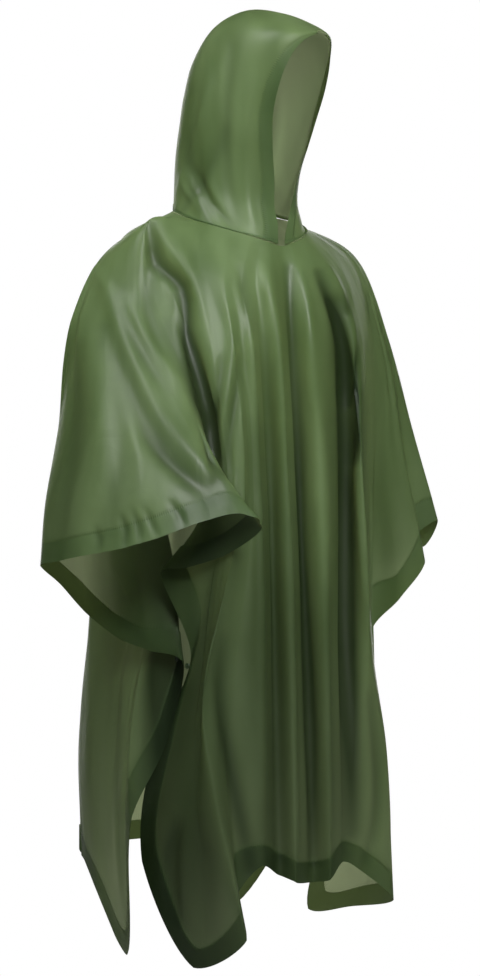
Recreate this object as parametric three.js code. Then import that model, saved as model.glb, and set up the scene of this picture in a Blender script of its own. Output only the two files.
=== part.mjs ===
// A hooded rain poncho of thin film, hollow, in the pose that it has when it is worn.
// Millimetres. +Z is up, the wearer faces -Y, and the wearer's right is -X.
// The origin is the middle of the neck opening, at the height of the neck's root.
import * as THREE from 'three';

// Thickness of the film in the solids, the slit between neighbouring pieces, and the hems.
const WALL = 1.0;
const SEAM_GAP = 0.3;
const HEM_WIDTH = 28;
const HEM_WALL = 0.8;
const RIM_HEM_WIDTH = 20;
// The least sine of the slant at which a fold meets the edge that the hem still allows for.
const LEAST_SLANT = 0.45;
// Steps on each stretch of a fold in which its length is measured.
const REACH_STEPS = 30;

// Plain colours of the film in one layer and in two, and of the snaps.
const HOOD_TINT = 0x4d6939;
const HEM_TINT = 0x3c5530;
const FACE_HEM_TINT = 0x33492a;
const SNAP_TINT = 0x2c3a26;
const FILM_ROUGHNESS = 0.35;
const SNAP_ROUGHNESS = 0.4;

// Neck opening: half width, half depth, how far its middle lies in front, and its heights.
const NECK = { halfWidth: 95, halfDepth: 94, forward: 9, frontUp: -38, rise: 60, riseShape: 0.55 };
const HOOD_LIFT = 1.6;

// The folds are measured square to the garment's front right quarter: across to the right as
// seen from there, toward the eye, and up. That quarter is turned from the front by this angle.
const MEASURE_TURN = THREE.MathUtils.degToRad(38);

// Each row is one fold line of the sheet, in order round the neck. neck is the place where it
// starts, in degrees from the throat towards the wearer's right. run holds the stations that
// the line passes on its way to the sheet's edge, each as across, toward and up.
const FRONT_FOLDS = [
  { fold: 'right valley', neck: 72,
    run: [[-109, 124, -5], [-101, 138, -67], [-67, 172, -158], [-42, 180, -254],
      [-33, 180, -339], [-53, 166, -422], [-103, 148, -492]] },
  { fold: 'right snap, front', neck: 66,
    run: [[-87, 126, -24], [-55, 163, -117], [-33, 186, -254],
      [-20, 183, -385], [-44, 171, -522], [-62, 164, -605]] },
  { fold: 'flap, upper edge', neck: 60,
    run: [[-63, 130, -39], [-41, 168, -131], [-23, 189, -255], [-14, 187, -389],
      [-37, 180, -529], [-56, 176, -652], [-118, 150, -752]] },
  { fold: 'flap, lower edge', neck: 54,
    run: [[-45, 140, -60], [-30, 172, -144], [-14, 190, -255], [-5, 190, -391],
      [-30, 188, -528], [-49, 186, -665], [-71, 168, -797], [-132, 114, -893]] },
  { fold: 'front right corner', neck: 48,
    run: [[-30, 148, -75], [-16, 175, -158], [-4, 189, -255], [3, 191, -391], [-23, 196, -528],
      [-45, 196, -665], [-49, 187, -802], [-42, 166, -927], [-59, 134, -1038]] },
  { fold: 'right ridge', neck: 42,
    run: [[-16, 150, -82], [-5, 176, -158], [7, 185, -254], [11, 189, -391],
      [-18, 203, -528], [-45, 207, -664], [-30, 208, -787], [15, 196, -994]] },
  { fold: 'behind the ridge', neck: 35,
    run: [[-4, 146, -86], [7, 166, -158], [19, 166, -282], [22, 162, -419],
      [3, 165, -584], [-8, 168, -749], [4, 160, -932]] },
  { fold: 'second ridge', neck: 28,
    run: [[10, 142, -88], [21, 164, -158], [32, 160, -295],
      [36, 158, -529], [36, 156, -749], [36, 150, -896]] },
  { fold: 'long valley, right', neck: 20,
    run: [[28, 128, -94], [37, 138, -157], [47, 124, -336],
      [54, 118, -599], [61, 114, -912]] },
  { fold: 'middle ridge', neck: 10,
    run: [[47, 126, -94], [58, 138, -157], [68, 134, -336],
      [76, 128, -599], [84, 126, -921]] },
  { fold: 'long valley, middle', neck: 0,
    run: [[69, 98, -93], [78, 102, -170], [88, 84, -364],
      [99, 82, -614], [109, 78, -924]] },
  { fold: 'left of middle', neck: -11,
    run: [[92, 92, -93], [104, 106, -163], [117, 98, -336],
      [126, 94, -600], [132, 90, -920]] },
  { fold: 'left valley', neck: -23,
    run: [[120, 58, -77], [145, 48, -151], [157, 22, -322],
      [153, 26, -532], [151, 50, -898]] },
  { fold: 'left ridge', neck: -35,
    run: [[136, 34, -72], [163, 38, -161], [176, 42, -350],
      [187, 32, -560], [183, 20, -729], [177, 12, -914]] },
  { fold: 'front left side', neck: -46,
    run: [[144, 0, -62], [175, 8, -152], [183, 0, -350],
      [193, -6, -590], [212, -18, -738], [224, -45, -960]] },
  { fold: 'front left tail', neck: -56,
    run: [[152, -32, -58], [181, -25, -151], [186, -34, -349], [194, -25, -590],
      [210, -38, -761], [211, -72, -877], [166, -112, -975]] },
  { fold: 'front left corner', neck: -65,
    run: [[158, -58, -53], [188, -52, -158], [189, -54, -349], [193, -42, -579],
      [199, -54, -762], [163, -112, -909], [104, -140, -981]] },
  { fold: 'flap, left front', neck: -72,
    run: [[163, -76, -53], [192, -69, -157], [194, -69, -349],
      [196, -57, -531], [190, -56, -662], [149, -104, -793]] },
  { fold: 'left snap, front', neck: -79,
    run: [[166, -92, -52], [198, -84, -161],
      [200, -86, -349], [192, -74, -580]] },
];

const LEFT_SLEEVE_FOLDS = [
  { fold: 'front of cuff', neck: -84,
    run: [[167, -102, -48], [206, -98, -163],
      [216, -108, -349], [235, -120, -533]] },
  { fold: 'lower flute', neck: -89,
    run: [[169, -110, -45], [212, -108, -166],
      [241, -126, -335], [271, -142, -483]] },
  { fold: 'between flutes', neck: -94,
    run: [[169, -118, -42], [215, -122, -165],
      [242, -146, -320], [259, -165, -444]] },
  { fold: 'upper flute', neck: -99,
    run: [[169, -125, -39], [217, -138, -155],
      [254, -155, -291], [292, -172, -421]] },
  { fold: 'top of sleeve', neck: -104,
    run: [[168, -134, -37], [214, -158, -147],
      [249, -184, -305], [276, -205, -458]] },
  { fold: 'back of cuff', neck: -110,
    run: [[112, -166, -45], [156, -226, -150],
      [162, -247, -330], [183, -234, -505]] },
  { fold: 'under the cuff', neck: -117,
    run: [[97, -165, -42], [115, -214, -150],
      [119, -218, -340], [151, -204, -555]] },
  { fold: 'towards the snap', neck: -124,
    run: [[84, -160, -38], [92, -178, -150],
      [113, -170, -340], [162, -144, -590]] },
  { fold: 'left snap, back', neck: -132,
    run: [[71, -152, -32], [80, -141, -150], [101, -124, -340],
      [133, -99, -480], [174, -73, -584]] },
];

const BACK_FOLDS = [
  { fold: 'flap, left back', neck: -140,
    run: [[57, -151, -28], [62, -158, -150], [71, -149, -340],
      [93, -146, -500], [105, -145, -640], [127, -130, -760]] },
  { fold: 'back left corner', neck: -148,
    run: [[39, -155, -26], [40, -173, -150], [47, -184, -340], [68, -185, -520],
      [80, -184, -700], [37, -206, -860], [-7, -230, -985]] },
  { fold: 'left back ridge', neck: -157,
    run: [[12, -154, -30], [5, -176, -150], [1, -196, -340],
      [-1, -222, -560], [-31, -247, -760], [-55, -252, -930]] },
  { fold: 'left back valley', neck: -166,
    run: [[-15, -136, -32], [-21, -156, -150], [-25, -168, -340],
      [-31, -179, -560], [-45, -188, -760], [-58, -188, -900]] },
  { fold: 'back ridge', neck: -174,
    run: [[-45, -122, -34], [-56, -144, -150], [-69, -159, -340],
      [-84, -178, -560], [-100, -193, -760], [-112, -199, -890]] },
  { fold: 'back middle valley', neck: 178,
    run: [[-68, -99, -34], [-83, -116, -150], [-93, -125, -340],
      [-106, -136, -560], [-119, -143, -760], [-127, -147, -880]] },
  { fold: 'right back ridge', neck: 170,
    run: [[-97, -79, -33], [-116, -97, -150], [-132, -110, -340],
      [-155, -127, -560], [-177, -139, -760], [-188, -140, -885]] },
  { fold: 'right back valley', neck: 161,
    run: [[-123, -51, -31], [-140, -63, -150], [-155, -69, -340],
      [-176, -76, -560], [-193, -75, -760], [-201, -72, -880]] },
  { fold: 'right side ridge', neck: 152,
    run: [[-148, -27, -29], [-169, -38, -150], [-191, -43, -340],
      [-209, -95, -592], [-223, -98, -736], [-223, -92, -896]] },
  { fold: 'right side', neck: 144,
    run: [[-157, -9, -31], [-174, -11, -150], [-187, -9, -340],
      [-213, -40, -591], [-223, -44, -733], [-216, -48, -906]] },
  { fold: 'side valley', neck: 137,
    run: [[-162, 7, -31], [-166, 10, -150], [-163, 21, -340],
      [-174, 34, -574], [-189, 40, -728], [-194, 12, -944]] },
  { fold: 'back right corner', neck: 130,
    run: [[-165, 17, -31], [-157, 26, -150], [-143, 48, -340], [-142, 68, -545],
      [-160, 98, -683], [-169, 108, -849], [-152, 108, -1023]] },
  { fold: 'flap, back lower edge', neck: 124,
    run: [[-165, 27, -31], [-149, 38, -150], [-131, 64, -340], [-120, 88, -531],
      [-138, 124, -654], [-149, 140, -750], [-147, 162, -834]] },
  { fold: 'flap, back upper edge', neck: 118,
    run: [[-165, 35, -32], [-145, 47, -150], [-121, 74, -340],
      [-103, 92, -517], [-116, 136, -623], [-98, 186, -727]] },
  { fold: 'right snap, back', neck: 112,
    run: [[-164, 50, -34], [-140, 64, -150], [-117, 97, -340],
      [-84, 118, -495], [-80, 146, -573], [-74, 188, -613]] },
];

const RIGHT_SLEEVE_FOLDS = [
  { fold: 'back of lip', neck: 109,
    run: [[-167, 59, -38], [-174, 63, -150], [-155, 81, -330],
      [-142, 104, -455], [-121, 138, -599]] },
  { fold: 'lip', neck: 106,
    run: [[-172, 66, -42], [-200, 62, -150], [-186, 64, -330],
      [-179, 79, -455], [-164, 106, -583]] },
  { fold: 'back of elbow', neck: 103,
    run: [[-177, 72, -44], [-222, 67, -150], [-221, 61, -325],
      [-216, 67, -448], [-211, 88, -547]] },
  { fold: 'behind the tip', neck: 100,
    run: [[-180, 80, -47], [-228, 79, -140], [-247, 74, -300],
      [-247, 86, -420], [-244, 112, -509]] },
  { fold: 'tip of cuff', neck: 97,
    run: [[-174, 85, -43], [-218, 86, -120], [-243, 88, -267],
      [-265, 134, -405], [-270, 152, -482]] },
  { fold: 'outer arm', neck: 94,
    run: [[-167, 92, -38], [-211, 100, -121], [-229, 138, -267],
      [-244, 190, -405], [-247, 206, -476]] },
  { fold: 'light strip', neck: 91,
    run: [[-160, 99, -33], [-195, 120, -122], [-203, 182, -268],
      [-209, 240, -398], [-211, 256, -467]] },
  { fold: 'cuff front, outer', neck: 88,
    run: [[-153, 105, -28], [-179, 134, -118], [-175, 208, -262],
      [-162, 276, -391], [-156, 292, -456]] },
  { fold: 'cuff front, middle', neck: 85,
    run: [[-145, 110, -22], [-164, 143, -116], [-144, 220, -255],
      [-113, 286, -378], [-102, 300, -441]] },
  { fold: 'cuff front, inner', neck: 82,
    run: [[-137, 116, -17], [-149, 148, -112], [-114, 222, -252],
      [-67, 276, -361], [-48, 290, -421]] },
  { fold: 'over the ridge', neck: 79.5,
    run: [[-131, 119, -13], [-135, 150, -105], [-90, 216, -241],
      [-30, 262, -351], [6, 268, -409]] },
  { fold: 'ridge of the flute', neck: 77.5,
    run: [[-126, 121, -9], [-124, 148, -99], [-76, 206, -234],
      [-16, 244, -353], [37, 248, -427]] },
  { fold: 'inside the flute', neck: 75.5,
    run: [[-121, 123, -5], [-116, 144, -94], [-71, 194, -220],
      [-30, 216, -340], [-15, 212, -419], [-11, 202, -465]] },
  { fold: 'back of the flute', neck: 73.7,
    run: [[-116, 123, -4], [-108, 139, -80], [-67, 183, -193],
      [-40, 198, -323], [-41, 194, -412], [-70, 184, -485]] },
];

// Which folds bound each panel of the sheet and each hem.
const PANELS = [
  { name: 'front_panel', from: 'right valley', to: 'left snap, front', tint: 0x4f6b3a },
  { name: 'left_sleeve', from: 'left snap, front', to: 'left snap, back', tint: 0x53703d },
  { name: 'back_panel', from: 'left snap, back', to: 'right snap, back', tint: 0x4a6637 },
  { name: 'right_sleeve', from: 'right snap, back', to: 'right valley', tint: 0x557440 },
];
const HEMS = [
  { name: 'front_hem', from: 'front right corner', to: 'front left corner' },
  { name: 'left_side_hem', from: 'front left corner', to: 'back left corner' },
  { name: 'back_hem', from: 'back left corner', to: 'back right corner' },
  { name: 'right_side_hem', from: 'back right corner', to: 'front right corner' },
];

// Sections of the hood from the neck up and over to the brow. Each gives the face edge (how far
// forward, to the side and up), the centre seam (forward and up) and the half width between.
const HOOD_SECTIONS = [
  { rimForward: 102, rimSide: 5, rimUp: -36, seamForward: -85, seamUp: 22, halfWidth: 95 },
  { rimForward: 97, rimSide: 8, rimUp: -12, seamForward: -90, seamUp: 55, halfWidth: 88 },
  { rimForward: 87, rimSide: 18, rimUp: 20, seamForward: -88, seamUp: 95, halfWidth: 84 },
  { rimForward: 88, rimSide: 27, rimUp: 60, seamForward: -80, seamUp: 140, halfWidth: 85 },
  { rimForward: 96, rimSide: 42, rimUp: 104, seamForward: -71, seamUp: 185, halfWidth: 87 },
  { rimForward: 104, rimSide: 52, rimUp: 144, seamForward: -56, seamUp: 232, halfWidth: 86 },
  { rimForward: 115, rimSide: 55, rimUp: 179, seamForward: -22, seamUp: 276, halfWidth: 80 },
  { rimForward: 125, rimSide: 52, rimUp: 208, seamForward: 30, seamUp: 297, halfWidth: 72 },
  { rimForward: 134, rimSide: 44, rimUp: 230, seamForward: 80, seamUp: 290, halfWidth: 60 },
  { rimForward: 142, rimSide: 34, rimUp: 244, seamForward: 113, seamUp: 278, halfWidth: 45 },
  { rimForward: 147, rimSide: 22, rimUp: 252, seamForward: 134, seamUp: 268, halfWidth: 28 },
  { rimForward: 150, rimSide: 8, rimUp: 257, seamForward: 147, seamUp: 262, halfWidth: 10 },
];
// The hood is turned to the wearer's left, fully from this section up.
const HOOD_TURN = THREE.MathUtils.degToRad(15);
const HOOD_TURN_SECTIONS = 3;
// Where the neck band's upper line lies, as a share of the first section.
const BAND_SECTION = 0.6;

// Snap fasteners that close the sides: a cap outside and a socket between the two layers.
const SNAP = {
  capRadius: 6, capHeight: 1.6, socketRadius: 4.5, socketHeight: 2.0, roomShare: 0.85, sides: 16,
};

// The layer that lies outside at each side's snap, the one beneath it, and on which side of
// those folds the flap with the snap lies.
const SNAP_SIDES = [
  { side: 'right', outer: 'right snap, back', outerStep: -1, inner: 'right snap, front', innerStep: 1 },
  { side: 'left', outer: 'left snap, front', outerStep: -1, inner: 'left snap, back', innerStep: 1 },
];

// How finely the surfaces are cut up.
const COLUMNS_PER_FOLD = 2;
const SHEET_ROWS = 17;
const SHOULDER_ROWS = 3;
// Distance between rows just below the shoulder; it grows further down.
const UPPER_STEP = 24;
// How straight the cloth runs from fold to fold: 0 fully rounded, 1 straight.
const FOLD_STRAIGHTNESS = 0.2;
// How the outward direction at a point is found from the facets round it.
const LEAN_STEPS = 24;
const LEAN_SHARE = 0.15;
const LEAST_LEAN = 0.6;
const HOOD_COLUMNS = 13;
const HOOD_ROWS_PER_SECTION = 1.5;

const SHEET_FOLDS = [...FRONT_FOLDS, ...LEFT_SLEEVE_FOLDS, ...BACK_FOLDS, ...RIGHT_SLEEVE_FOLDS];

// A station of a fold in the garment's own axes.
function place([across, toward, up]) {
  const cos = Math.cos(MEASURE_TURN);
  const sin = Math.sin(MEASURE_TURN);
  return new THREE.Vector3(across * cos - toward * sin, -across * sin - toward * cos, up);
}

// A point of the neck seam, by its angle in degrees from the throat to the wearer's right.
function neckPoint(degrees) {
  const angle = THREE.MathUtils.degToRad(degrees);
  const rise = NECK.rise * ((1 - Math.cos(angle)) / 2) ** NECK.riseShape;
  const x = -NECK.halfWidth * Math.sin(angle);
  const y = -NECK.forward - NECK.halfDepth * Math.cos(angle);
  return new THREE.Vector3(x, y, NECK.frontUp + rise);
}

// The smooth line of one fold from the neck to the sheet's edge.
function foldLine({ neck, run }) {
  const points = [neckPoint(neck), ...run.map(place)];
  return new THREE.CatmullRomCurve3(points, false, 'centripetal');
}

// How far up each fold the hem's inner line lies, so that the hem keeps its width on a slant.
function hemReach(lines, index) {
  const count = lines.length;
  const before = lines[(index + count - 1) % count].getPoint(1);
  const after = lines[(index + 1) % count].getPoint(1);
  const along = after.sub(before).normalize();
  const down = lines[index].getTangent(1);
  const slant = Math.sqrt(Math.max(0, 1 - along.dot(down) ** 2));
  return HEM_WIDTH / Math.max(slant, LEAST_SLANT);
}

// How far along a fold its first station lies: the brow of the shoulder or the chest.
function shoulderReach(line, stationCount) {
  return line.getLengths(stationCount * REACH_STEPS)[REACH_STEPS];
}

// The sheet as rows of points: even rows from the neck to the shoulder, widening ones from there
// to the hem's inner line, then the edge.
function sheetRows() {
  const lines = SHEET_FOLDS.map(foldLine);
  const shoulders = lines.map((line, index) => shoulderReach(line, SHEET_FOLDS[index].run.length));
  const hemLines = lines.map((line, index) => line.getLength() - hemReach(lines, index));
  const reachAt = (index, row) => {
    if (row === SHEET_ROWS) return lines[index].getLength();
    if (row <= SHOULDER_ROWS) return shoulders[index] * row / SHOULDER_ROWS;
    const lowerRows = SHEET_ROWS - 1 - SHOULDER_ROWS;
    const step = row - SHOULDER_ROWS;
    const growth = (hemLines[index] - shoulders[index] - UPPER_STEP * lowerRows) / lowerRows ** 2;
    return shoulders[index] + UPPER_STEP * step + growth * step ** 2;
  };
  const count = lines.length * COLUMNS_PER_FOLD;
  const rows = [];
  for (let row = 0; row <= SHEET_ROWS; row += 1) {
    const stations = lines.map((line, index) => (
      line.getPointAt(Math.min(1, reachAt(index, row) / line.getLength()))));
    const ring = new THREE.CatmullRomCurve3(stations, true, 'centripetal');
    rows.push(Array.from({ length: count }, (unused, column) => {
      const place = column / COLUMNS_PER_FOLD;
      const next = stations[(Math.floor(place) + 1) % stations.length];
      const straight = stations[Math.floor(place)].clone().lerp(next, place % 1);
      return ring.getPoint(column / count).lerp(straight, FOLD_STRAIGHTNESS);
    }));
  }
  return rows;
}

// The direction that leans as evenly as it can on the facets that meet at a point. It is longer
// than one where they meet at an angle, so that an offset along it keeps its depth on each facet.
function evenDirection(normals) {
  const direction = normals.reduce((sum, normal) => sum.add(normal), new THREE.Vector3()).normalize();
  const leastDot = () => Math.min(...normals.map((normal) => normal.dot(direction)));
  for (let step = 0; step < LEAN_STEPS; step += 1) {
    const least = leastDot();
    const farthest = normals.find((normal) => normal.dot(direction) === least);
    direction.addScaledVector(farthest, LEAN_SHARE).normalize();
  }
  return direction.divideScalar(Math.max(leastDot(), LEAST_LEAN));
}

// Outward directions at every point of a grid; a ring grid joins its last column to its first.
function outwardDirections(rows, isRing) {
  const count = rows[0].length;
  const rowCount = rows.length;
  const facets = rows.map(() => Array.from({ length: count }, () => []));
  const lastQuad = isRing ? count : count - 1;
  for (let row = 0; row < rowCount - 1; row += 1) {
    for (let column = 0; column < lastQuad; column += 1) {
      const next = (column + 1) % count;
      const corners = [[row, column], [row + 1, column], [row + 1, next], [row, next]];
      for (const trio of [[0, 1, 2], [0, 2, 3]]) {
        const spots = trio.map((index) => corners[index]);
        const facet = new THREE.Triangle(...spots.map(([r, c]) => rows[r][c]));
        const normal = facet.getNormal(new THREE.Vector3());
        spots.forEach(([r, c]) => facets[r][c].push(normal));
      }
    }
  }
  return facets.map((row) => row.map(evenDirection));
}

// Takes part of a grid: its rows, and its columns, which may run on past the ring's start.
function cutGrid(grid, firstRow, lastRow, firstColumn, lastColumn) {
  const pick = (list) => {
    const count = list.length;
    const wanted = lastColumn - firstColumn + 1;
    return Array.from({ length: wanted }, (unused, step) => list[(firstColumn + step) % count]);
  };
  const rowsOf = (lists) => lists.slice(firstRow, lastRow + 1).map(pick);
  return { points: rowsOf(grid.points), outward: rowsOf(grid.outward) };
}

// Draws the side borders of a grid back by half of the slit that parts it from its neighbour.
function partFromNeighbours(grid) {
  const lastRow = grid.points.length - 1;
  const drawn = grid.points.map((points, row) => {
    const last = points.length - 1;
    const shift = (from, to) => {
      const down = grid.points[Math.min(row + 1, lastRow)][from].clone()
        .sub(grid.points[Math.max(row - 1, 0)][from]).normalize();
      const inward = points[to].clone().sub(points[from]);
      inward.addScaledVector(down, -inward.dot(down));
      return inward.setLength(SEAM_GAP / 2).add(points[from]);
    };
    return [shift(0, 1), ...points.slice(1, last), shift(last, last - 1)];
  });
  return { points: drawn, outward: grid.outward };
}

// A closed wall over a grid, between two distances measured outward from the grid's points.
function wallGeometry(grid, outer, inner) {
  const rowCount = grid.points.length;
  const columnCount = grid.points[0].length;
  const layer = (distance) => grid.points.flatMap((row, rowIndex) => row.map((point, column) => (
    point.clone().addScaledVector(grid.outward[rowIndex][column], distance))));
  const vertices = [...layer(outer), ...layer(inner)];
  const half = rowCount * columnCount;
  const at = (row, column) => row * columnCount + column;
  const faces = [];
  const quad = (a, b, c, d) => faces.push(a, b, c, a, c, d);
  for (let row = 0; row < rowCount - 1; row += 1) {
    for (let column = 0; column < columnCount - 1; column += 1) {
      const corners = [at(row, column), at(row + 1, column), at(row + 1, column + 1), at(row, column + 1)];
      quad(...corners);
      const [a, b, c, d] = corners.map((corner) => corner + half);
      quad(a, d, c, b);
    }
  }
  const lastRow = rowCount - 1;
  const lastColumn = columnCount - 1;
  const end = (from, to) => quad(from, to, to + half, from + half);
  for (let column = 0; column < lastColumn; column += 1) {
    end(at(0, column), at(0, column + 1));
    end(at(lastRow, column + 1), at(lastRow, column));
  }
  // Both sides are split on the same diagonal, so that two walls fit along a twisted seam.
  for (let row = 0; row < lastRow; row += 1) {
    end(at(row, lastColumn), at(row + 1, lastColumn));
    quad(at(row, 0), at(row, 0) + half, at(row + 1, 0) + half, at(row + 1, 0));
  }
  const geometry = new THREE.BufferGeometry();
  const places = vertices.flatMap((vertex) => vertex.toArray());
  geometry.setAttribute('position', new THREE.Float32BufferAttribute(places, 3));
  geometry.setIndex(faces);
  return geometry;
}

function clothMaterial(tint) {
  return new THREE.MeshStandardMaterial({
    color: tint, roughness: FILM_ROUGHNESS, metalness: 0, side: THREE.DoubleSide,
  });
}

function addMesh(group, name, geometry, material) {
  geometry.computeVertexNormals();
  const mesh = new THREE.Mesh(geometry, material);
  mesh.name = name;
  group.add(mesh);
}

function columnOf(fold) {
  return SHEET_FOLDS.findIndex((row) => row.fold === fold) * COLUMNS_PER_FOLD;
}

// Columns from one fold to another, going on past the ring's start where that is needed.
function columnSpan(from, to, count) {
  const first = columnOf(from);
  const last = columnOf(to);
  return [first, last > first ? last : last + count];
}

// The four panels of the sheet, and the hem folded in along each of its sides.
function addSheet(group, sheet) {
  const count = sheet.points[0].length;
  for (const { name, from, to, tint } of PANELS) {
    const [first, last] = columnSpan(from, to, count);
    const panel = partFromNeighbours(cutGrid(sheet, 0, SHEET_ROWS, first, last));
    addMesh(group, name, wallGeometry(panel, 0, -WALL), clothMaterial(tint));
  }
  const hemOuter = -WALL - SEAM_GAP;
  for (const { name, from, to } of HEMS) {
    const [first, last] = columnSpan(from, to, count);
    const hem = partFromNeighbours(cutGrid(sheet, SHEET_ROWS - 1, SHEET_ROWS, first, last));
    addMesh(group, name, wallGeometry(hem, hemOuter, hemOuter - HEM_WALL), clothMaterial(HEM_TINT));
  }
}

// A column of the hood's table at any place between its sections.
function hoodSize(name, section) {
  const last = HOOD_SECTIONS.length - 1;
  const points = HOOD_SECTIONS.map((row, index) => new THREE.Vector3(index, row[name], 0));
  return new THREE.SplineCurve(points).getPoint(section / last).y;
}

// Points of one half of the hood at one section, from the face edge round to the centre seam.
function hoodRow(side, section) {
  const size = (name) => hoodSize(name, section);
  const halfWidth = size('halfWidth');
  const start = Math.asin(Math.min(1, size('rimSide') / halfWidth));
  const risen = THREE.MathUtils.smoothstep(section, 0, 1);
  const turn = HOOD_TURN * THREE.MathUtils.smoothstep(section, 0, HOOD_TURN_SECTIONS);
  const pointAt = (share) => {
    const angle = start + (Math.PI - start) * share;
    const back = (Math.cos(start) - Math.cos(angle)) / (Math.cos(start) + 1);
    const forward = THREE.MathUtils.lerp(size('rimForward'), size('seamForward'), back);
    const lateral = side * halfWidth * Math.sin(angle);
    const up = THREE.MathUtils.lerp(size('rimUp'), size('seamUp'), back);
    const x = forward * Math.sin(turn) + lateral * Math.cos(turn);
    const y = -forward * Math.cos(turn) + lateral * Math.sin(turn);
    const throat = THREE.MathUtils.radToDeg(start);
    const ring = neckPoint(-side * THREE.MathUtils.lerp(throat, 180, share));
    ring.z += HOOD_LIFT;
    return ring.lerp(new THREE.Vector3(x, y, up), risen);
  };
  const spread = Array.from({ length: HOOD_COLUMNS }, (unused, step) => step / (HOOD_COLUMNS - 1));
  const arc = spread.map(pointAt);
  const rimStep = arc[0].distanceTo(arc[1]);
  const hemShare = spread[1] * Math.min(1, RIM_HEM_WIDTH / rimStep);
  const beyond = (share) => (share - spread[1]) / (1 - spread[1]);
  const inner = spread.slice(1).map((share) => THREE.MathUtils.lerp(hemShare, 1, beyond(share)));
  return [arc[0], ...inner.map(pointAt)];
}

// The whole hood, from the right face edge round the back to the left one, from the neck up.
function hoodGrid() {
  const last = HOOD_SECTIONS.length - 1;
  const steps = Math.round(last * HOOD_ROWS_PER_SECTION);
  const sections = [0, BAND_SECTION];
  for (let step = 1; step <= steps; step += 1) {
    sections.push(THREE.MathUtils.lerp(BAND_SECTION, last, step / steps));
  }
  const rows = sections.map((section) => {
    const right = hoodRow(-1, section);
    const left = hoodRow(1, section).reverse();
    return [...right, ...left.slice(1)];
  });
  return { points: rows, outward: outwardDirections(rows, false) };
}

// The two halves of the hood, the hem folded in along the face edge, and the band at the neck.
function addHood(group) {
  const hood = hoodGrid();
  const lastRow = hood.points.length - 1;
  const middle = HOOD_COLUMNS - 1;
  const lastColumn = 2 * middle;
  const halves = [['hood_right', 0, middle], ['hood_left', middle, lastColumn]];
  for (const [name, first, last] of halves) {
    const half = partFromNeighbours(cutGrid(hood, 0, lastRow, first, last));
    addMesh(group, name, wallGeometry(half, 0, -WALL), clothMaterial(HOOD_TINT));
  }
  const hemOuter = -WALL - SEAM_GAP;
  const hems = [['face_hem_right', 0, 1], ['face_hem_left', lastColumn - 1, lastColumn]];
  for (const [name, first, last] of hems) {
    const hem = partFromNeighbours(cutGrid(hood, 0, lastRow, first, last));
    addMesh(group, name, wallGeometry(hem, hemOuter, hemOuter - HEM_WALL), clothMaterial(FACE_HEM_TINT));
  }
  const band = partFromNeighbours(cutGrid(hood, 0, 1, 0, lastColumn));
  addMesh(group, 'neck_band', wallGeometry(band, SEAM_GAP + HEM_WALL, SEAM_GAP), clothMaterial(HEM_TINT));
}

// The flat facet of the hem that lies nearest a snap: its inner circle and its direction.
function hemFacet(sheet, column, step) {
  const [inner, edge] = [sheet.points[SHEET_ROWS - 1], sheet.points[SHEET_ROWS]];
  const first = Math.min(column, column + step);
  const second = first + 1;
  const facets = [[inner[first], edge[first], edge[second]], [inner[first], edge[second], inner[second]]];
  const circles = facets.map((corners) => {
    const triangle = new THREE.Triangle(...corners);
    const sides = [1, 2, 0].map((index) => corners[index].distanceTo(corners[(index + 1) % 3]));
    const round = sides[0] + sides[1] + sides[2];
    const middle = new THREE.Vector3();
    corners.forEach((corner, index) => middle.addScaledVector(corner, sides[index] / round));
    return { middle, radius: 2 * triangle.getArea() / round, axis: triangle.getNormal(new THREE.Vector3()) };
  });
  return circles[0].radius > circles[1].radius ? circles[0] : circles[1];
}

// A round half of a snap fastener, standing on one layer of the sheet.
function addDisc(group, name, radius, height, { middle, axis, radius: room }) {
  const width = Math.min(radius, SNAP.roomShare * room);
  const mesh = new THREE.Mesh(
    new THREE.CylinderGeometry(width, width, height, SNAP.sides),
    new THREE.MeshStandardMaterial({ color: SNAP_TINT, roughness: SNAP_ROUGHNESS, metalness: 0 }),
  );
  mesh.name = name;
  mesh.position.copy(middle).addScaledVector(axis, SEAM_GAP + height / 2);
  mesh.quaternion.setFromUnitVectors(new THREE.Vector3(0, 1, 0), axis);
  group.add(mesh);
}

// Both halves of each side's snap: a cap on the outer layer and a socket on the one beneath.
function addSnaps(group, sheet) {
  for (const { side, outer, outerStep, inner, innerStep } of SNAP_SIDES) {
    const cap = hemFacet(sheet, columnOf(outer), outerStep);
    const socket = hemFacet(sheet, columnOf(inner), innerStep);
    addDisc(group, `${side}_snap_cap`, SNAP.capRadius, SNAP.capHeight, cap);
    addDisc(group, `${side}_snap_socket`, SNAP.socketRadius, SNAP.socketHeight, socket);
  }
}

function poncho() {
  const group = new THREE.Group();
  const rows = sheetRows();
  const sheet = { points: rows, outward: outwardDirections(rows, true) };
  addSheet(group, sheet);
  addHood(group);
  addSnaps(group, sheet);
  return group;
}

export default poncho();
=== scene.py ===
"""Looks of a hooded rain poncho in thin glossy film, standing as worn with no wearer.

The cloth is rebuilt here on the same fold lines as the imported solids, much finer, with the
smaller creases, welded hems and seams that the solids leave out. All sizes in the tables are
in millimetres and are turned into metres where the meshes are made.
"""
import logging
import math
from dataclasses import dataclass, fields
from enum import Enum
from typing import Optional, Sequence

import bpy
import numpy as np
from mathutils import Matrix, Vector, noise


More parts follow.
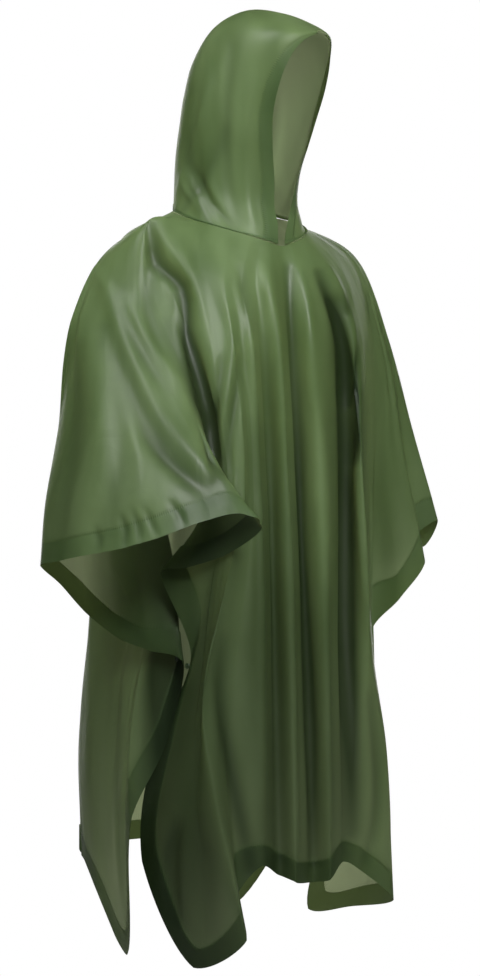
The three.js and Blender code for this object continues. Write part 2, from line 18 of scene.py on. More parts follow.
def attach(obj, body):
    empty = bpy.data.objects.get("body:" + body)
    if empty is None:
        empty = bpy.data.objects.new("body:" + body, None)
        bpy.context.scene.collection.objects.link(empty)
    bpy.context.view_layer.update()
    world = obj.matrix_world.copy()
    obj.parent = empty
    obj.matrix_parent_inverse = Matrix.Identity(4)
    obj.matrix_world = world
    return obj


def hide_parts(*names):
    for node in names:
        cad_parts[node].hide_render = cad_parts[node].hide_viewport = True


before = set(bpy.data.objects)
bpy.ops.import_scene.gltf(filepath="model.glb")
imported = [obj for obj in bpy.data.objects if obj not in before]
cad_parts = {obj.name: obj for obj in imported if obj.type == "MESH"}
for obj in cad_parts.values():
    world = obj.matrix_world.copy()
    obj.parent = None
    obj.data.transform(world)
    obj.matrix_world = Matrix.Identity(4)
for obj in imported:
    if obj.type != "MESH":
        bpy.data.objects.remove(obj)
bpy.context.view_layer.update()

LOG = logging.getLogger("poncho")
MM = 0.001
# The side that the photograph shows, in degrees from the front to the wearer's right.
PHOTO_QUARTER = 38.0

# A depth is one distance or a grid of them, and a value is whatever a node's socket takes.
Colour = tuple[float, float, float, float]
Depth = float | np.ndarray
Value = float | Colour | bpy.types.NodeSocket


class Hold(Enum):
    """Ways in which a piece of film is held."""

    HUNG = "hung"
    FOLDED = "folded"


class Spread(Enum):
    """The flank that a crease is seen from, in degrees from the front to the wearer's right."""

    FRONT_QUARTER = PHOTO_QUARTER
    RIGHT_SIDE = 90.0
    BACK = 180.0
    LEFT_SIDE = -90.0


@dataclass(frozen=True)
class Quarter:
    """The garment's front right quarter, which the folds are measured square to."""

    turn: float = math.radians(PHOTO_QUARTER)

    def place(self, stations: np.ndarray) -> np.ndarray:
        """Turns stations into the garment's own axes.

        Args:
            stations: rows of across, toward and up.

        Returns:
            Rows of x, y and z.
        """
        across, toward, up = stations[..., 0], stations[..., 1], stations[..., 2]
        cos, sin = math.cos(self.turn), math.sin(self.turn)
        return np.stack([across * cos - toward * sin, -across * sin - toward * cos, up], axis=-1)

    def read(self, points: np.ndarray, spread: Spread) -> tuple[np.ndarray, np.ndarray, np.ndarray]:
        """Reads points as seen square to one flank.

        Args:
            points: rows of x, y and z.
            spread: the flank.

        Returns:
            The distances across, toward the eye and up.
        """
        angle = math.radians(spread.value)
        cos, sin = math.cos(angle), math.sin(angle)
        x, y, z = points[..., 0], points[..., 1], points[..., 2]
        return x * cos - y * sin, -x * sin - y * cos, z


@dataclass(frozen=True)
class Neck:
    """The oval neck seam, which drops towards the throat."""

    half_width: float = 95.0
    half_depth: float = 94.0
    forward: float = 9.0
    front_up: float = -38.0
    rise: float = 60.0
    rise_shape: float = 0.55

    def points(self, degrees: np.ndarray) -> np.ndarray:
        """Points of the seam.

        Args:
            degrees: places on it, from the throat towards the wearer's right.

        Returns:
            Rows of x, y and z.
        """
        angle = np.radians(degrees)
        share = np.clip((1 - np.cos(angle)) / 2, 0, 1)
        return np.stack([-self.half_width * np.sin(angle),
                         -self.forward - self.half_depth * np.cos(angle),
                         self.front_up + self.rise * share ** self.rise_shape], axis=-1)


class SmoothLine:
    """Centripetal curves through stations, as the solids have them."""

    @staticmethod
    def between(p0: np.ndarray, p1: np.ndarray, p2: np.ndarray, p3: np.ndarray,
                share: np.ndarray) -> np.ndarray:
        """Points of one stretch of a curve.

        Args:
            p0: the station before the stretch.
            p1: its first station.
            p2: its last station.
            p3: the station after it.
            share: places along it, from 0 to 1.

        Returns:
            The points.
        """
        def knot(a: np.ndarray, b: np.ndarray) -> np.ndarray:
            """Spacing of two stations along the curve."""
            return np.maximum(np.sqrt(np.linalg.norm(b - a, axis=-1, keepdims=True)), 1e-2)

        d0, d1, d2 = knot(p0, p1), knot(p1, p2), knot(p2, p3)
        start = ((p1 - p0) / d0 - (p2 - p0) / (d0 + d1) + (p2 - p1) / d1) * d1
        end = ((p2 - p1) / d1 - (p3 - p1) / (d1 + d2) + (p3 - p2) / d2) * d1
        s = share[..., None]
        return (p1 + start * s + (-3 * p1 + 3 * p2 - 2 * start - end) * s ** 2
                + (2 * p1 - 2 * p2 + start + end) * s ** 3)

    @classmethod
    def open_line(cls, stations: np.ndarray, steps: int = 30) -> tuple[np.ndarray, np.ndarray]:
        """Follows an open curve.

        Args:
            stations: the points that it passes.
            steps: points on each stretch.

        Returns:
            Points along it and their distances from its start.
        """
        padded = np.vstack([2 * stations[0] - stations[1], stations, 2 * stations[-1] - stations[-2]])
        count = len(stations) - 1
        spots = np.linspace(0, count, count * steps + 1)
        first = np.minimum(spots.astype(int), count - 1)
        line = cls.between(padded[first], padded[first + 1], padded[first + 2], padded[first + 3],
                           spots - first)
        reach = np.concatenate([[0.0], np.cumsum(np.linalg.norm(np.diff(line, axis=0), axis=1))])
        return line, reach

    @classmethod
    def ring(cls, stations: np.ndarray, columns_each: int, straightness: float) -> np.ndarray:
        """Points of a closed curve.

        Args:
            stations: the points that it passes, in a ring.
            columns_each: points on each stretch.
            straightness: 0 for a round curve, 1 for straight stretches.

        Returns:
            The points, in a ring.
        """
        share = np.tile(np.arange(columns_each) / columns_each, len(stations))
        here = np.repeat(np.arange(len(stations)), columns_each)

        def pick(step: int) -> np.ndarray:
            """The stations that lie some steps from each point's own."""
            return stations[(here + step) % len(stations)]

        curve = cls.between(pick(-1), pick(0), pick(1), pick(2), share)
        straight = pick(0) + (pick(1) - pick(0)) * share[:, None]
        return curve + (straight - curve) * straightness


@dataclass(frozen=True)
class Fold:
    """One fold line of the sheet, from the neck to the sheet's edge."""

    name: str
    neck: float
    run: Sequence[Sequence[float]]


class Pull(Enum):
    """Whether a crease stands out of the film or sinks into it."""

    RIDGE = 1.0
    TROUGH = -1.0


@dataclass(frozen=True)
class Crease:
    """One soft crease, as seen square to one flank: its line, its half width and its depth.

    The line's points are across and up. It fades out towards both ends. Its shade weight sets how
    much painted shade darkens its trough.
    """

    line: Sequence[Sequence[float]]
    width: float
    depth: float
    pull: Pull
    spread: Spread = Spread.FRONT_QUARTER
    # Weight of the painted shade in its trough.
    gather: float = 1.0
    steps: int = 3
    end_share: float = 0.06
    fade_shape: float = 0.6

    def height(self, across: np.ndarray, up: np.ndarray) -> np.ndarray:
        """How far the crease lifts each point.

        Args:
            across: the points' places across the flank.
            up: their heights.

        Returns:
            The lift, in millimetres.
        """
        stations = np.array([[a, 0.0, u] for a, u in self.line], dtype=float)
        points, reach = SmoothLine.open_line(stations, self.steps)
        best = np.full(across.shape, np.inf)
        place = np.zeros(across.shape)
        for start, end, near in zip(points[:-1], points[1:], reach[:-1]):
            step = end - start
            long = max(float(np.hypot(step[0], step[2])), 1e-6)
            share = np.clip(((across - start[0]) * step[0] + (up - start[2]) * step[2]) / long ** 2, 0, 1)
            gap = np.hypot(across - start[0] - share * step[0], up - start[2] - share * step[2])
            closer = gap < best
            best = np.where(closer, gap, best)
            place = np.where(closer, near + share * long, place)
        along = np.clip(place / reach[-1], 0, 1)
        fade = np.sin(math.pi * (self.end_share + (1 - 2 * self.end_share) * along)) ** self.fade_shape
        return self.pull.value * self.depth * fade * np.exp(-(best / self.width) ** 2)


@dataclass(frozen=True)
class FilmSheet:
    """The rectangular sheet, on all its fold lines, as one smooth surface."""

    folds: Sequence[Fold]
    quarter: Quarter = Quarter()
    neck: Neck = Neck()
    shoulder_rows: float = 3.0
    sheet_rows: float = 17.0
    upper_step: float = 24.0
    hem_width: float = 28.0
    least_slant: float = 0.45
    straightness: float = 0.2
    columns_each: int = 14

    def column_of(self, fold: str) -> int:
        """The column of a fold in the fine grid."""
        return [row.name for row in self.folds].index(fold) * self.columns_each

    def lines(self) -> list[tuple[np.ndarray, np.ndarray]]:
        """Follows every fold line.

        Returns:
            For each fold its points and their distances from the neck.
        """
        found = []
        for row in self.folds:
            seam = self.neck.points(np.array([row.neck]))
            stations = self.quarter.place(np.array(row.run, dtype=float))
            found.append(SmoothLine.open_line(np.vstack([seam, stations])))
        return found

    def hem_reach(self, lines: list[tuple[np.ndarray, np.ndarray]], index: int) -> float:
        """How far up a fold the hem's inner line lies.

        Args:
            lines: all fold lines.
            index: the fold.

        Returns:
            The distance from the edge along the fold.
        """
        ends = [line[0][-1] for line in lines]
        along = ends[(index + 1) % len(ends)] - ends[index - 1]
        down = lines[index][0][-1] - lines[index][0][-2]
        cosine = along @ down / (np.linalg.norm(along) * np.linalg.norm(down))
        return self.hem_width / max(math.sqrt(max(0.0, 1 - cosine ** 2)), self.least_slant)

    def grid(self, rows: np.ndarray) -> np.ndarray:
        """Points of the sheet.

        Args:
            rows: places from the neck, 0, to the edge, in the solids' rows.

        Returns:
            The points, as rows of columns round the neck.
        """
        lines = self.lines()
        stations = np.zeros((len(rows), len(lines), 3))
        last = self.sheet_rows - 1
        lower = last - self.shoulder_rows
        for index, (points, reach) in enumerate(lines):
            steps = (len(points) - 1) // len(self.folds[index].run)
            shoulder, whole = reach[steps], reach[-1]
            hem = whole - self.hem_reach(lines, index)
            growth = (hem - shoulder - self.upper_step * lower) / lower ** 2
            step = np.clip(rows - self.shoulder_rows, 0, lower)
            at = np.where(rows <= self.shoulder_rows, shoulder * rows / self.shoulder_rows,
                          shoulder + self.upper_step * step + growth * step ** 2)
            at = np.where(rows > last, hem + (whole - hem) * (rows - last), at)
            for axis in range(3):
                stations[:, index, axis] = np.interp(at, reach, points[:, axis])
        return np.stack([SmoothLine.ring(row, self.columns_each, self.straightness) for row in stations])


def outward_of(grid: np.ndarray, is_ring: bool) -> np.ndarray:
    """Outward directions of a grid of points.

    Args:
        grid: the points, as rows of columns.
        is_ring: whether the last column meets the first.

    Returns:
        A direction for each point.
    """
    def unit(v: np.ndarray) -> np.ndarray:
        """Gives vectors the length 1."""
        return v / np.maximum(np.linalg.norm(v, axis=-1, keepdims=True), 1e-9)

    down = np.empty_like(grid)
    down[1:-1] = grid[2:] - grid[:-2]
    down[0], down[-1] = grid[1] - grid[0], grid[-1] - grid[-2]
    before, after = grid - np.roll(grid, 1, axis=1), np.roll(grid, -1, axis=1) - grid
    if not is_ring:
        before[:, 0], after[:, -1] = after[:, 0], before[:, -1]
    return unit(np.cross(down, unit(before) + unit(after)))


@dataclass
class FilmPiece:
    """A piece of film cut from a grid: its mesh, its marks and its place beside the solids."""

    node: str
    points: np.ndarray
    outward: np.ndarray
    marks: dict[str, np.ndarray]
    depth: Depth = 0.0
    least_fill: float = 0.5

    def build(self) -> bpy.types.Object:
        """Makes the piece's mesh as one thin layer.

        Returns:
            The new object.
        """
        name = self.node + "_film"
        rows, columns = self.points.shape[:2]
        depth = np.broadcast_to(self.depth, (rows, columns))
        places = (self.points + self.outward * depth[..., None]).reshape(-1, 3) * MM
        index = np.arange(rows * columns).reshape(rows, columns)
        quads = np.stack([index[:-1, :-1], index[1:, :-1], index[1:, 1:], index[:-1, 1:]], axis=-1)
        quads = quads.reshape(-1, 4)
        mesh = bpy.data.meshes.new(name)
        mesh.from_pydata(places.tolist(), [], quads.tolist())
        for mark_name, values in self.marks.items():
            mark = mesh.attributes.new(mark_name, "FLOAT", "POINT")
            mark.data.foreach_set("value", values.reshape(-1).astype(np.float32))
        mesh.shade_smooth()
        mesh.update()
        mesh.normals_split_custom_set_from_vertices(self.outward.reshape(-1, 3).tolist())
        obj = bpy.data.objects.new(name, mesh)
        bpy.context.collection.objects.link(obj)
        return obj

    def set_on_model(self, finish: bpy.types.Material, hold: Hold) -> None:
        """Args:
            finish: its material.
            hold: how it is held; not used.
        """
        obj = self.build()
        obj.data.materials.append(finish)
        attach(obj, "root")
        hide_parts(self.node)


@dataclass(frozen=True)
class FilmGrid:
    """A grid of film with its outward directions and its marks: weld, along and valley, which carries
    painted shade.
    """

    points: np.ndarray
    outward: np.ndarray
    marks: dict[str, np.ndarray]

    def piece(self, node: str, rows: slice, columns: slice | np.ndarray, depth: Depth = 0.0) -> FilmPiece:
        """Cuts one piece from the grid.

        Args:
            node: the solid that it stands for.
            rows: its rows.
            columns: its columns.
            depth: how far it lies out from the grid, in millimetres.

        Returns:
            The piece.
        """
        marks = {name: values[rows][:, columns] for name, values in self.marks.items()}
        return FilmPiece(node, self.points[rows][:, columns], self.outward[rows][:, columns], marks, depth)


@dataclass(frozen=True)
class RunningCrease:
    """One soft crease that runs down the sheet beside a fold, most of them on the hidden flanks.

    shift, drift and width are in steps from fold to fold, and the rows are those of the sheet.
    Its shade weight sets how much painted shade darkens it.
    """

    fold: str
    shift: float
    first_row: float
    last_row: float
    drift: float
    width: float
    depth: float
    pull: Pull
    # Weight of the painted shade that it lays.
    gather: float = 0.0
    sway: float = 0.12
    sway_turn: float = 5.0
    fade_shape: float = 0.7

    def height(self, start: float, steps: np.ndarray, rows: np.ndarray, count: int) -> np.ndarray:
        """How far the crease lifts each point.

        Args:
            start: the fold's number.
            steps: the columns' places, in steps from fold to fold.
            rows: the rows' places.
            count: how many folds the sheet has.

        Returns:
            The lift, in millimetres.
        """
        share = (rows - self.first_row) / (self.last_row - self.first_row)
        sway = self.sway * np.sin(self.sway_turn * share + start)
        middle = start + self.shift + self.drift * share + sway
        gap = (steps[None, :] - middle[:, None] + count / 2) % count - count / 2
        fade = np.sin(math.pi * np.clip(share, 0, 1)) ** self.fade_shape
        return self.pull.value * self.depth * fade[:, None] * np.exp(-(gap / self.width) ** 2)


@dataclass(frozen=True)
class Ripple:
    """The faint unevenness that thin film keeps between its creases."""

    long_size: float = 120.0
    long_lift: float = 3.6
    short_size: float = 45.0
    short_lift: float = 0.9
    stretch: float = 0.4

    def height(self, points: np.ndarray) -> np.ndarray:
        """How far the ripple lifts each point.

        Args:
            points: the points, in millimetres.

        Returns:
            The lift, in millimetres.
        """
        flat = points.reshape(-1, 3) * np.array([1.0, 1.0, self.stretch])
        lifts = [self.long_lift * noise.noise(Vector(p / self.long_size))
                 + self.short_lift * noise.noise(Vector(p / self.short_size)) for p in flat]
        return np.array(lifts).reshape(points.shape[:-1])


@dataclass(frozen=True)
class CreaseBook:
    """Puts the creases of each flank on a grid of cloth."""

    creases: Sequence[Crease]
    quarter: Quarter = Quarter()
    least_facing: float = 0.25
    full_facing: float = 0.55
    full_valley: float = 11.0

    def lift(self, points: np.ndarray, outward: np.ndarray) -> tuple[np.ndarray, np.ndarray]:
        """Adds up all creases where the cloth faces the flank that they are seen from.

        Args:
            points: the grid's points.
            outward: their outward directions.

        Returns:
            The lift of each point, in millimetres, and how much shade is painted there in its troughs.
        """
        total = np.zeros(points.shape[:-1])
        gathered = np.zeros(points.shape[:-1])
        for spread in Spread:
            chosen = [crease for crease in self.creases if crease.spread is spread]
            if not chosen:
                continue
            angle = math.radians(spread.value)
            facing = -outward[..., 0] * math.sin(angle) - outward[..., 1] * math.cos(angle)
            share = np.clip((facing - self.least_facing) / (self.full_facing - self.least_facing), 0, 1)
            across, _, up = self.quarter.read(points, spread)
            seen = share > 0
            lifts = np.zeros(int(seen.sum()))
            valleys = np.zeros(int(seen.sum()))
            for crease in chosen:
                rise = crease.height(across[seen], up[seen])
                lifts += rise
                # Painted shade: each trough darkens the colour by its depth and shade weight.
                valleys += np.clip(-rise, 0, None) * crease.gather
            eased = share[seen] ** 2 * (3 - 2 * share[seen])
            total[seen] += eased * lifts
            gathered[seen] += eased * valleys
        return total, np.clip(gathered / self.full_valley, 0, 1)


@dataclass(frozen=True)
class HoodSection:
    """One section of the hood: its face edge, its centre seam and its half width."""

    rim_forward: float
    rim_side: float
    rim_up: float
    seam_forward: float
    seam_up: float
    half_width: float


@dataclass(frozen=True)
class HoodForm:
    """The hood's surface, from the neck seam up and over to the brow."""

    sections: Sequence[HoodSection]
    neck: Neck = Neck()
    lift: float = 1.6
    turn: float = math.radians(15.0)
    turn_sections: float = 3.0
    band_section: float = 0.6
    rim_hem: float = 20.0
    coarse_columns: int = 13
    hem_columns: int = 5
    half_columns: int = 62

    def size(self, name: str, section: float) -> float:
        """Reads a column of the sections' table at any place.

        Args:
            name: the column.
            section: the place.

        Returns:
            The size there.
        """
        values = [getattr(row, name) for row in self.sections]
        last = len(values) - 1
        first = min(int(section), last - 1)
        s = section - first
        p0, p1, p2, p3 = (values[min(max(first + step, 0), last)] for step in (-1, 0, 1, 2))
        start, end = (p2 - p0) / 2, (p3 - p1) / 2
        return ((2 * p1 - 2 * p2 + start + end) * s ** 3
                + (-3 * p1 + 3 * p2 - 2 * start - end) * s ** 2 + start * s + p1)

    def arc(self, side: float, section: float, shares: np.ndarray) -> np.ndarray:
        """Points of one half of a section.

        Args:
            side: -1 for the wearer's right, 1 for the left.
            section: the section's place.
            shares: places from the face edge, 0, to the centre seam, 1.

        Returns:
            The points.
        """
        size = {row.name: self.size(row.name, section) for row in fields(HoodSection)}
        start = math.asin(min(1.0, size["rim_side"] / size["half_width"]))
        angle = start + (math.pi - start) * shares
        back = (math.cos(start) - np.cos(angle)) / (math.cos(start) + 1)
        forward = size["rim_forward"] + (size["seam_forward"] - size["rim_forward"]) * back
        lateral = side * size["half_width"] * np.sin(angle)
        up = size["rim_up"] + (size["seam_up"] - size["rim_up"]) * back
        turn = self.turn * smooth_share(section / self.turn_sections)
        x = forward * math.sin(turn) + lateral * math.cos(turn)
        y = -forward * math.cos(turn) + lateral * math.sin(turn)
        throat = math.degrees(start)
        ring = self.neck.points(-side * (throat + (180 - throat) * shares))
        ring[:, 2] += self.lift
        return ring + (np.stack([x, y, up], axis=-1) - ring) * smooth_share(section)

    def row(self, side: float, section: float) -> np.ndarray:
        """Points of one half of a section, evenly spread behind the hem at the face.

        Args:
            side: -1 for the wearer's right, 1 for the left.
            section: the section's place.

        Returns:
            The points from the face edge to the centre seam.
        """
        step = 1 / (self.coarse_columns - 1)
        ends = self.arc(side, section, np.array([0.0, step]))
        hem = step * min(1.0, self.rim_hem / float(np.linalg.norm(ends[1] - ends[0])))
        shares = np.concatenate([np.linspace(0, hem, self.hem_columns),
                                 np.linspace(hem, 1, self.half_columns)[1:]])
        return self.arc(side, section, shares)

    def grid(self, sections: np.ndarray) -> np.ndarray:
        """Points of the whole hood, from the right face edge round the back to the left one."""
        return np.stack([np.vstack([self.row(-1, s), self.row(1, s)[::-1][1:]]) for s in sections])


def smooth_share(value: float) -> float:
    """Eases a share from 0 to 1."""
    share = min(max(value, 0.0), 1.0)
    return share * share * (3 - 2 * share)


class NodeDesk:
    """A small helper that lays out the nodes of one material."""

    def __init__(self, name: str) -> None:
        """Starts an empty material.

        Args:
            name: the material's name.
        """
        self.material = bpy.data.materials.new(name)
        self.material.use_nodes = True
        self.tree = self.material.node_tree
        self.tree.nodes.clear()

    def add(self, kind: str, inputs: Optional[dict[str, object]] = None,
            **settings: object) -> bpy.types.Node:
        """Adds a node.

        Args:
            kind: the node's type.
            inputs: socket names with plain values, or with the sockets to link.
            settings: the node's own properties.

        Returns:
            The node.
        """
        node = self.tree.nodes.new(kind)
        for key, value in settings.items():
            setattr(node, key, value)
        for key, value in (inputs or {}).items():
            socket = node.inputs[int(key)] if key.isdigit() else node.inputs[key]
            if isinstance(value, bpy.types.NodeSocket):
                self.tree.links.new(value, socket)
            else:
                socket.default_value = value
        return node

    def noise_of(self, place: bpy.types.NodeSocket, scale: float, detail: float,
                 roughness: float = 0.5) -> bpy.types.Node:
        """Adds a cloudy noise.

        Args:
            place: where it is read.
            scale: its scale.
            detail: its detail.
            roughness: its roughness.

        Returns:
            The noise's node.
        """
        return self.add("ShaderNodeTexNoise", {"Vector": place, "Scale": scale, "Detail": detail,
                                               "Roughness": roughness})

    def mark_of(self, name: str) -> bpy.types.NodeSocket:
        """The value of one of the film's marks."""
        return self.add("ShaderNodeAttribute", attribute_name=name).outputs["Fac"]

    def maths_of(self, operation: str, *values: Value) -> bpy.types.NodeSocket:
        """Works out a sum.

        Args:
            operation: the kind of sum.
            values: what goes in, plain or linked.

        Returns:
            The result's socket.
        """
        inputs = {str(index): value for index, value in enumerate(values)}
        return self.add("ShaderNodeMath", inputs, operation=operation).outputs[0]

    def bump_of(self, height: bpy.types.NodeSocket, bump: tuple[float, float],
                under: Optional[bpy.types.NodeSocket] = None, invert: bool = False) -> bpy.types.NodeSocket:
        """Turns a height into relief.

        Args:
            height: the height.
            bump: the relief's strength and its distance in metres.
            under: the relief that it lies on, if any.
            invert: whether high places sink.

        Returns:
            The normal's socket.
        """
        inputs = {"Height": height, "Strength": bump[0], "Distance": bump[1]}
        if under is not None:
            inputs["Normal"] = under
        return self.add("ShaderNodeBump", inputs, invert=invert).outputs[0]

    def blend_of(self, share: Value, first: Value, second: Value) -> bpy.types.NodeSocket:
        """Mixes two colours.

        Args:
            share: how much of the second, plain or linked.
            first: the first colour.
            second: the second colour.

        Returns:
            The mixed colour's socket.
        """
        node = self.add("ShaderNodeMix", {"0": share, "6": first, "7": second}, data_type="RGBA")
        return node.outputs[2]

    def range_of(self, value: bpy.types.NodeSocket, low: float, high: float,
                 start: float = 0.0, end: float = 1.0) -> bpy.types.NodeSocket:
        """Maps a value from one range to another.

        Args:
            value: the value.
            low: the result at the start.
            high: the result at the end.
            start: the value's start.
            end: the value's end.

        Returns:
            The mapped value's socket.
        """
        node = self.add("ShaderNodeMapRange", {"Value": value, "From Min": start, "From Max": end,
                                               "To Min": low, "To Max": high})
        return node.outputs[0]

    def finish_with(self, shader: bpy.types.NodeSocket) -> bpy.types.Material:
        """Links the last shader to the material's output.

        Args:
            shader: the last shader.

        Returns:
            The material.
        """
        self.add("ShaderNodeOutputMaterial", {"Surface": shader})
        return self.material


@dataclass(frozen=True)
class FilmFinish:
    """Glossy film that light passes: pale where one layer is lit from behind, deep where more are, with
    painted shade in its creases.

    Scales and details are those of the textures. A bump is its strength and its distance in metres.
    """

    name: str
    deep: Colour
    fresh: Colour
    glow: Colour
    # Painted shade: the film's colour and the colour of the light through it where the valley mark is full.
    gathered: Colour = (0.004, 0.010, 0.003, 1.0)
    gathered_glow: Colour = (0.01, 0.02, 0.006, 1.0)
    glow_share: float = 0.46
    valley_depth: float = 0.82
    weld_depth: float = 0.6
    roughness: tuple[float, float] = (0.40, 0.54)
    drawn_out: tuple[float, float, float] = (1.0, 1.0, 0.3)
    cloud_scale: float = 7.0
    cloud_detail: float = 4.0
    sway_scale: float = 6.0
    sway_detail: float = 2.0
    sway_share: float = 0.18
    crumple_scale: float = 11.0
    crumple_reach: float = 0.35
    streak_scale: float = 15.0
    streak_detail: float = 3.0
    streak_roughness: float = 0.55
    streak_range: tuple[float, float] = (0.3, 0.7)
    streak_share: float = 0.42
    tone_range: tuple[float, float] = (0.32, 0.66)
    grain_scale: float = 420.0
    grain_detail: float = 1.0
    rib_step: float = 3.2
    rib_least: float = 0.35
    crumple_bump: tuple[float, float] = (0.24, 0.0030)
    streak_bump: tuple[float, float] = (0.34, 0.0050)
    grain_bump: tuple[float, float] = (0.12, 0.0003)
    rib_bump: tuple[float, float] = (0.6, 0.0006)
    refraction: float = 1.42
    specular_level: float = 0.36
    coat: float = 0.12
    coat_roughness: float = 0.34

    def relief(self, desk: NodeDesk, place: bpy.types.NodeSocket, long_place: bpy.types.NodeSocket,
               streaks: bpy.types.NodeSocket, weld: bpy.types.NodeSocket) -> bpy.types.NodeSocket:
        """Lays the film's relief: crumples, streaks, grain and the ribs of the welds.

        Args:
            desk: the material's desk.
            place: the place on the film.
            long_place: the same, drawn out along the folds.
            streaks: the streaks' noise.
            weld: the mark of the welds.

        Returns:
            The normal's socket.
        """
        sway = desk.noise_of(place, self.sway_scale, self.sway_detail).outputs["Color"]
        bent = desk.add("ShaderNodeMix", {"0": self.sway_share, "4": long_place, "5": sway},
                        data_type="VECTOR").outputs[1]
        cells = desk.add("ShaderNodeTexVoronoi", {"Vector": bent, "Scale": self.crumple_scale},
                         feature="DISTANCE_TO_EDGE").outputs["Distance"]
        crumple = desk.range_of(cells, 0.0, 1.0, 0.0, self.crumple_reach)
        grain = desk.noise_of(place, self.grain_scale, self.grain_detail).outputs["Fac"]
        turns = desk.maths_of("MULTIPLY", desk.mark_of("along"), 2 * math.pi / self.rib_step)
        teeth = desk.range_of(desk.maths_of("SINE", turns), self.rib_least, 1.0, -1.0, 1.0)
        ribs = desk.maths_of("MULTIPLY", teeth, weld)
        normal = desk.bump_of(crumple, self.crumple_bump)
        normal = desk.bump_of(streaks, self.streak_bump, normal)
        normal = desk.bump_of(grain, self.grain_bump, normal)
        return desk.bump_of(ribs, self.rib_bump, normal, invert=True)

    def tones(self, desk: NodeDesk, cloud: bpy.types.NodeSocket, streaks: bpy.types.NodeSocket,
              weld: bpy.types.NodeSocket) -> tuple[bpy.types.NodeSocket, bpy.types.NodeSocket]:
        """Lays the film's colours, with painted shade that darkens them where the valley mark is set.

        Args:
            desk: the material's desk.
            cloud: the large noise.
            streaks: the streaks' noise.
            weld: the mark of the welds.

        Returns:
            The colour of the film and the colour of the light through it.
        """
        mixed = desk.add("ShaderNodeMix", {"0": self.streak_share, "2": cloud, "3": streaks}).outputs[0]
        tone = desk.blend_of(desk.range_of(mixed, 0.0, 1.0, *self.tone_range), self.deep, self.fresh)
        # Painted shade: the valley mark darkens the colour and the light through the film.
        painted_shade_share = desk.range_of(desk.mark_of("valley"), 0.0, self.valley_depth)
        shaded = desk.blend_of(painted_shade_share, tone, self.gathered)
        dim_glow = desk.blend_of(painted_shade_share, self.glow, self.gathered_glow)
        return desk.blend_of(desk.range_of(weld, 0.0, self.weld_depth), shaded, self.deep), dim_glow

    def material(self) -> bpy.types.Material:
        """Builds the film's material.

        Returns:
            The new material.
        """
        desk = NodeDesk(self.name)
        place = desk.add("ShaderNodeTexCoord").outputs["Object"]
        long_place = desk.add("ShaderNodeMapping", {"Vector": place, "Scale": self.drawn_out}).outputs[0]
        cloud = desk.noise_of(long_place, self.cloud_scale, self.cloud_detail).outputs["Fac"]
        streaks = desk.noise_of(long_place, self.streak_scale, self.streak_detail,
                                self.streak_roughness).outputs["Fac"]
        weld = desk.mark_of("weld")
        normal = self.relief(desk, place, long_place, streaks, weld)
        colour, dim_glow = self.tones(desk, cloud, streaks, weld)
        body = desk.add("ShaderNodeBsdfPrincipled", {
            "Base Color": colour, "Normal": normal,
            "Roughness": desk.range_of(streaks, *self.roughness, *self.streak_range),
            "IOR": self.refraction, "Specular IOR Level": self.specular_level,
            "Coat Weight": self.coat, "Coat Roughness": self.coat_roughness})
        glow = desk.add("ShaderNodeBsdfTranslucent", {"Color": dim_glow, "Normal": normal})
        milky = desk.add("ShaderNodeMixShader", {"0": self.glow_share, "1": body.outputs[0],
                                                 "2": glow.outputs[0]})
        return desk.finish_with(milky.outputs[0])


@dataclass(frozen=True)
class SnapFinish:
    """Hard moulded plastic of the snap fasteners."""

    name: str = "snap_plastic"
    colour: Colour = (0.016, 0.030, 0.012, 1.0)
    worn: Colour = (0.035, 0.055, 0.026, 1.0)
    roughness: tuple[float, float] = (0.25, 0.42)
    grain_scale: float = 900.0
    grain_detail: float = 4.0
    grain_bump: tuple[float, float] = (0.15, 0.0002)
    cloud_scale: float = 160.0
    cloud_detail: float = 2.0

    def material(self) -> bpy.types.Material:
        """Builds the plastic's material.

        Returns:
            The new material.
        """
        desk = NodeDesk(self.name)
        place = desk.add("ShaderNodeTexCoord").outputs["Object"]
        grain = desk.noise_of(place, self.grain_scale, self.grain_detail).outputs["Fac"]
        cloud = desk.noise_of(place, self.cloud_scale, self.cloud_detail).outputs["Fac"]
        body = desk.add("ShaderNodeBsdfPrincipled", {
            "Base Color": desk.blend_of(cloud, self.colour, self.worn),
            "Normal": desk.bump_of(grain, self.grain_bump),
            "Roughness": desk.range_of(grain, *self.roughness)})
        return desk.finish_with(body.outputs[0])


@dataclass(frozen=True)
class FloorFinish:
    """Matt pale studio floor that brightens into the surround towards its edge."""

    name: str = "studio_floor"
    colour: Colour = (0.86, 0.86, 0.85, 1.0)
    shade: Colour = (0.80, 0.80, 0.79, 1.0)
    bright: Colour = (1.0, 1.0, 1.0, 1.0)
    roughness: float = 0.7
    cloud_scale: float = 1.4
    cloud_detail: float = 5.0
    fade_start: float = 1.1
    fade_end: float = 3.1

    def material(self) -> bpy.types.Material:
        """Builds the floor's material.

        Returns:
            The new material.
        """
        desk = NodeDesk(self.name)
        place = desk.add("ShaderNodeTexCoord").outputs["Object"]
        cloud = desk.noise_of(place, self.cloud_scale, self.cloud_detail).outputs["Fac"]
        body = desk.add("ShaderNodeBsdfPrincipled", {
            "Base Color": desk.blend_of(cloud, self.colour, self.shade), "Roughness": self.roughness})
        flat = desk.add("ShaderNodeVectorMath", {"0": place, "1": (1.0, 1.0, 0.0)}, operation="MULTIPLY")
        reach = desk.add("ShaderNodeVectorMath", {"0": flat.outputs[0]}, operation="LENGTH").outputs["Value"]
        edge = desk.range_of(reach, 0.0, 1.0, self.fade_start, self.fade_end)
        seen = desk.add("ShaderNodeLightPath").outputs["Is Camera Ray"]
        bright = desk.add("ShaderNodeEmission", {"Color": self.bright})
        faded = desk.add("ShaderNodeMixShader", {"0": desk.maths_of("MULTIPLY", edge, seen),
                                                 "1": body.outputs[0], "2": bright.outputs[0]})
        return desk.finish_with(faded.outputs[0])


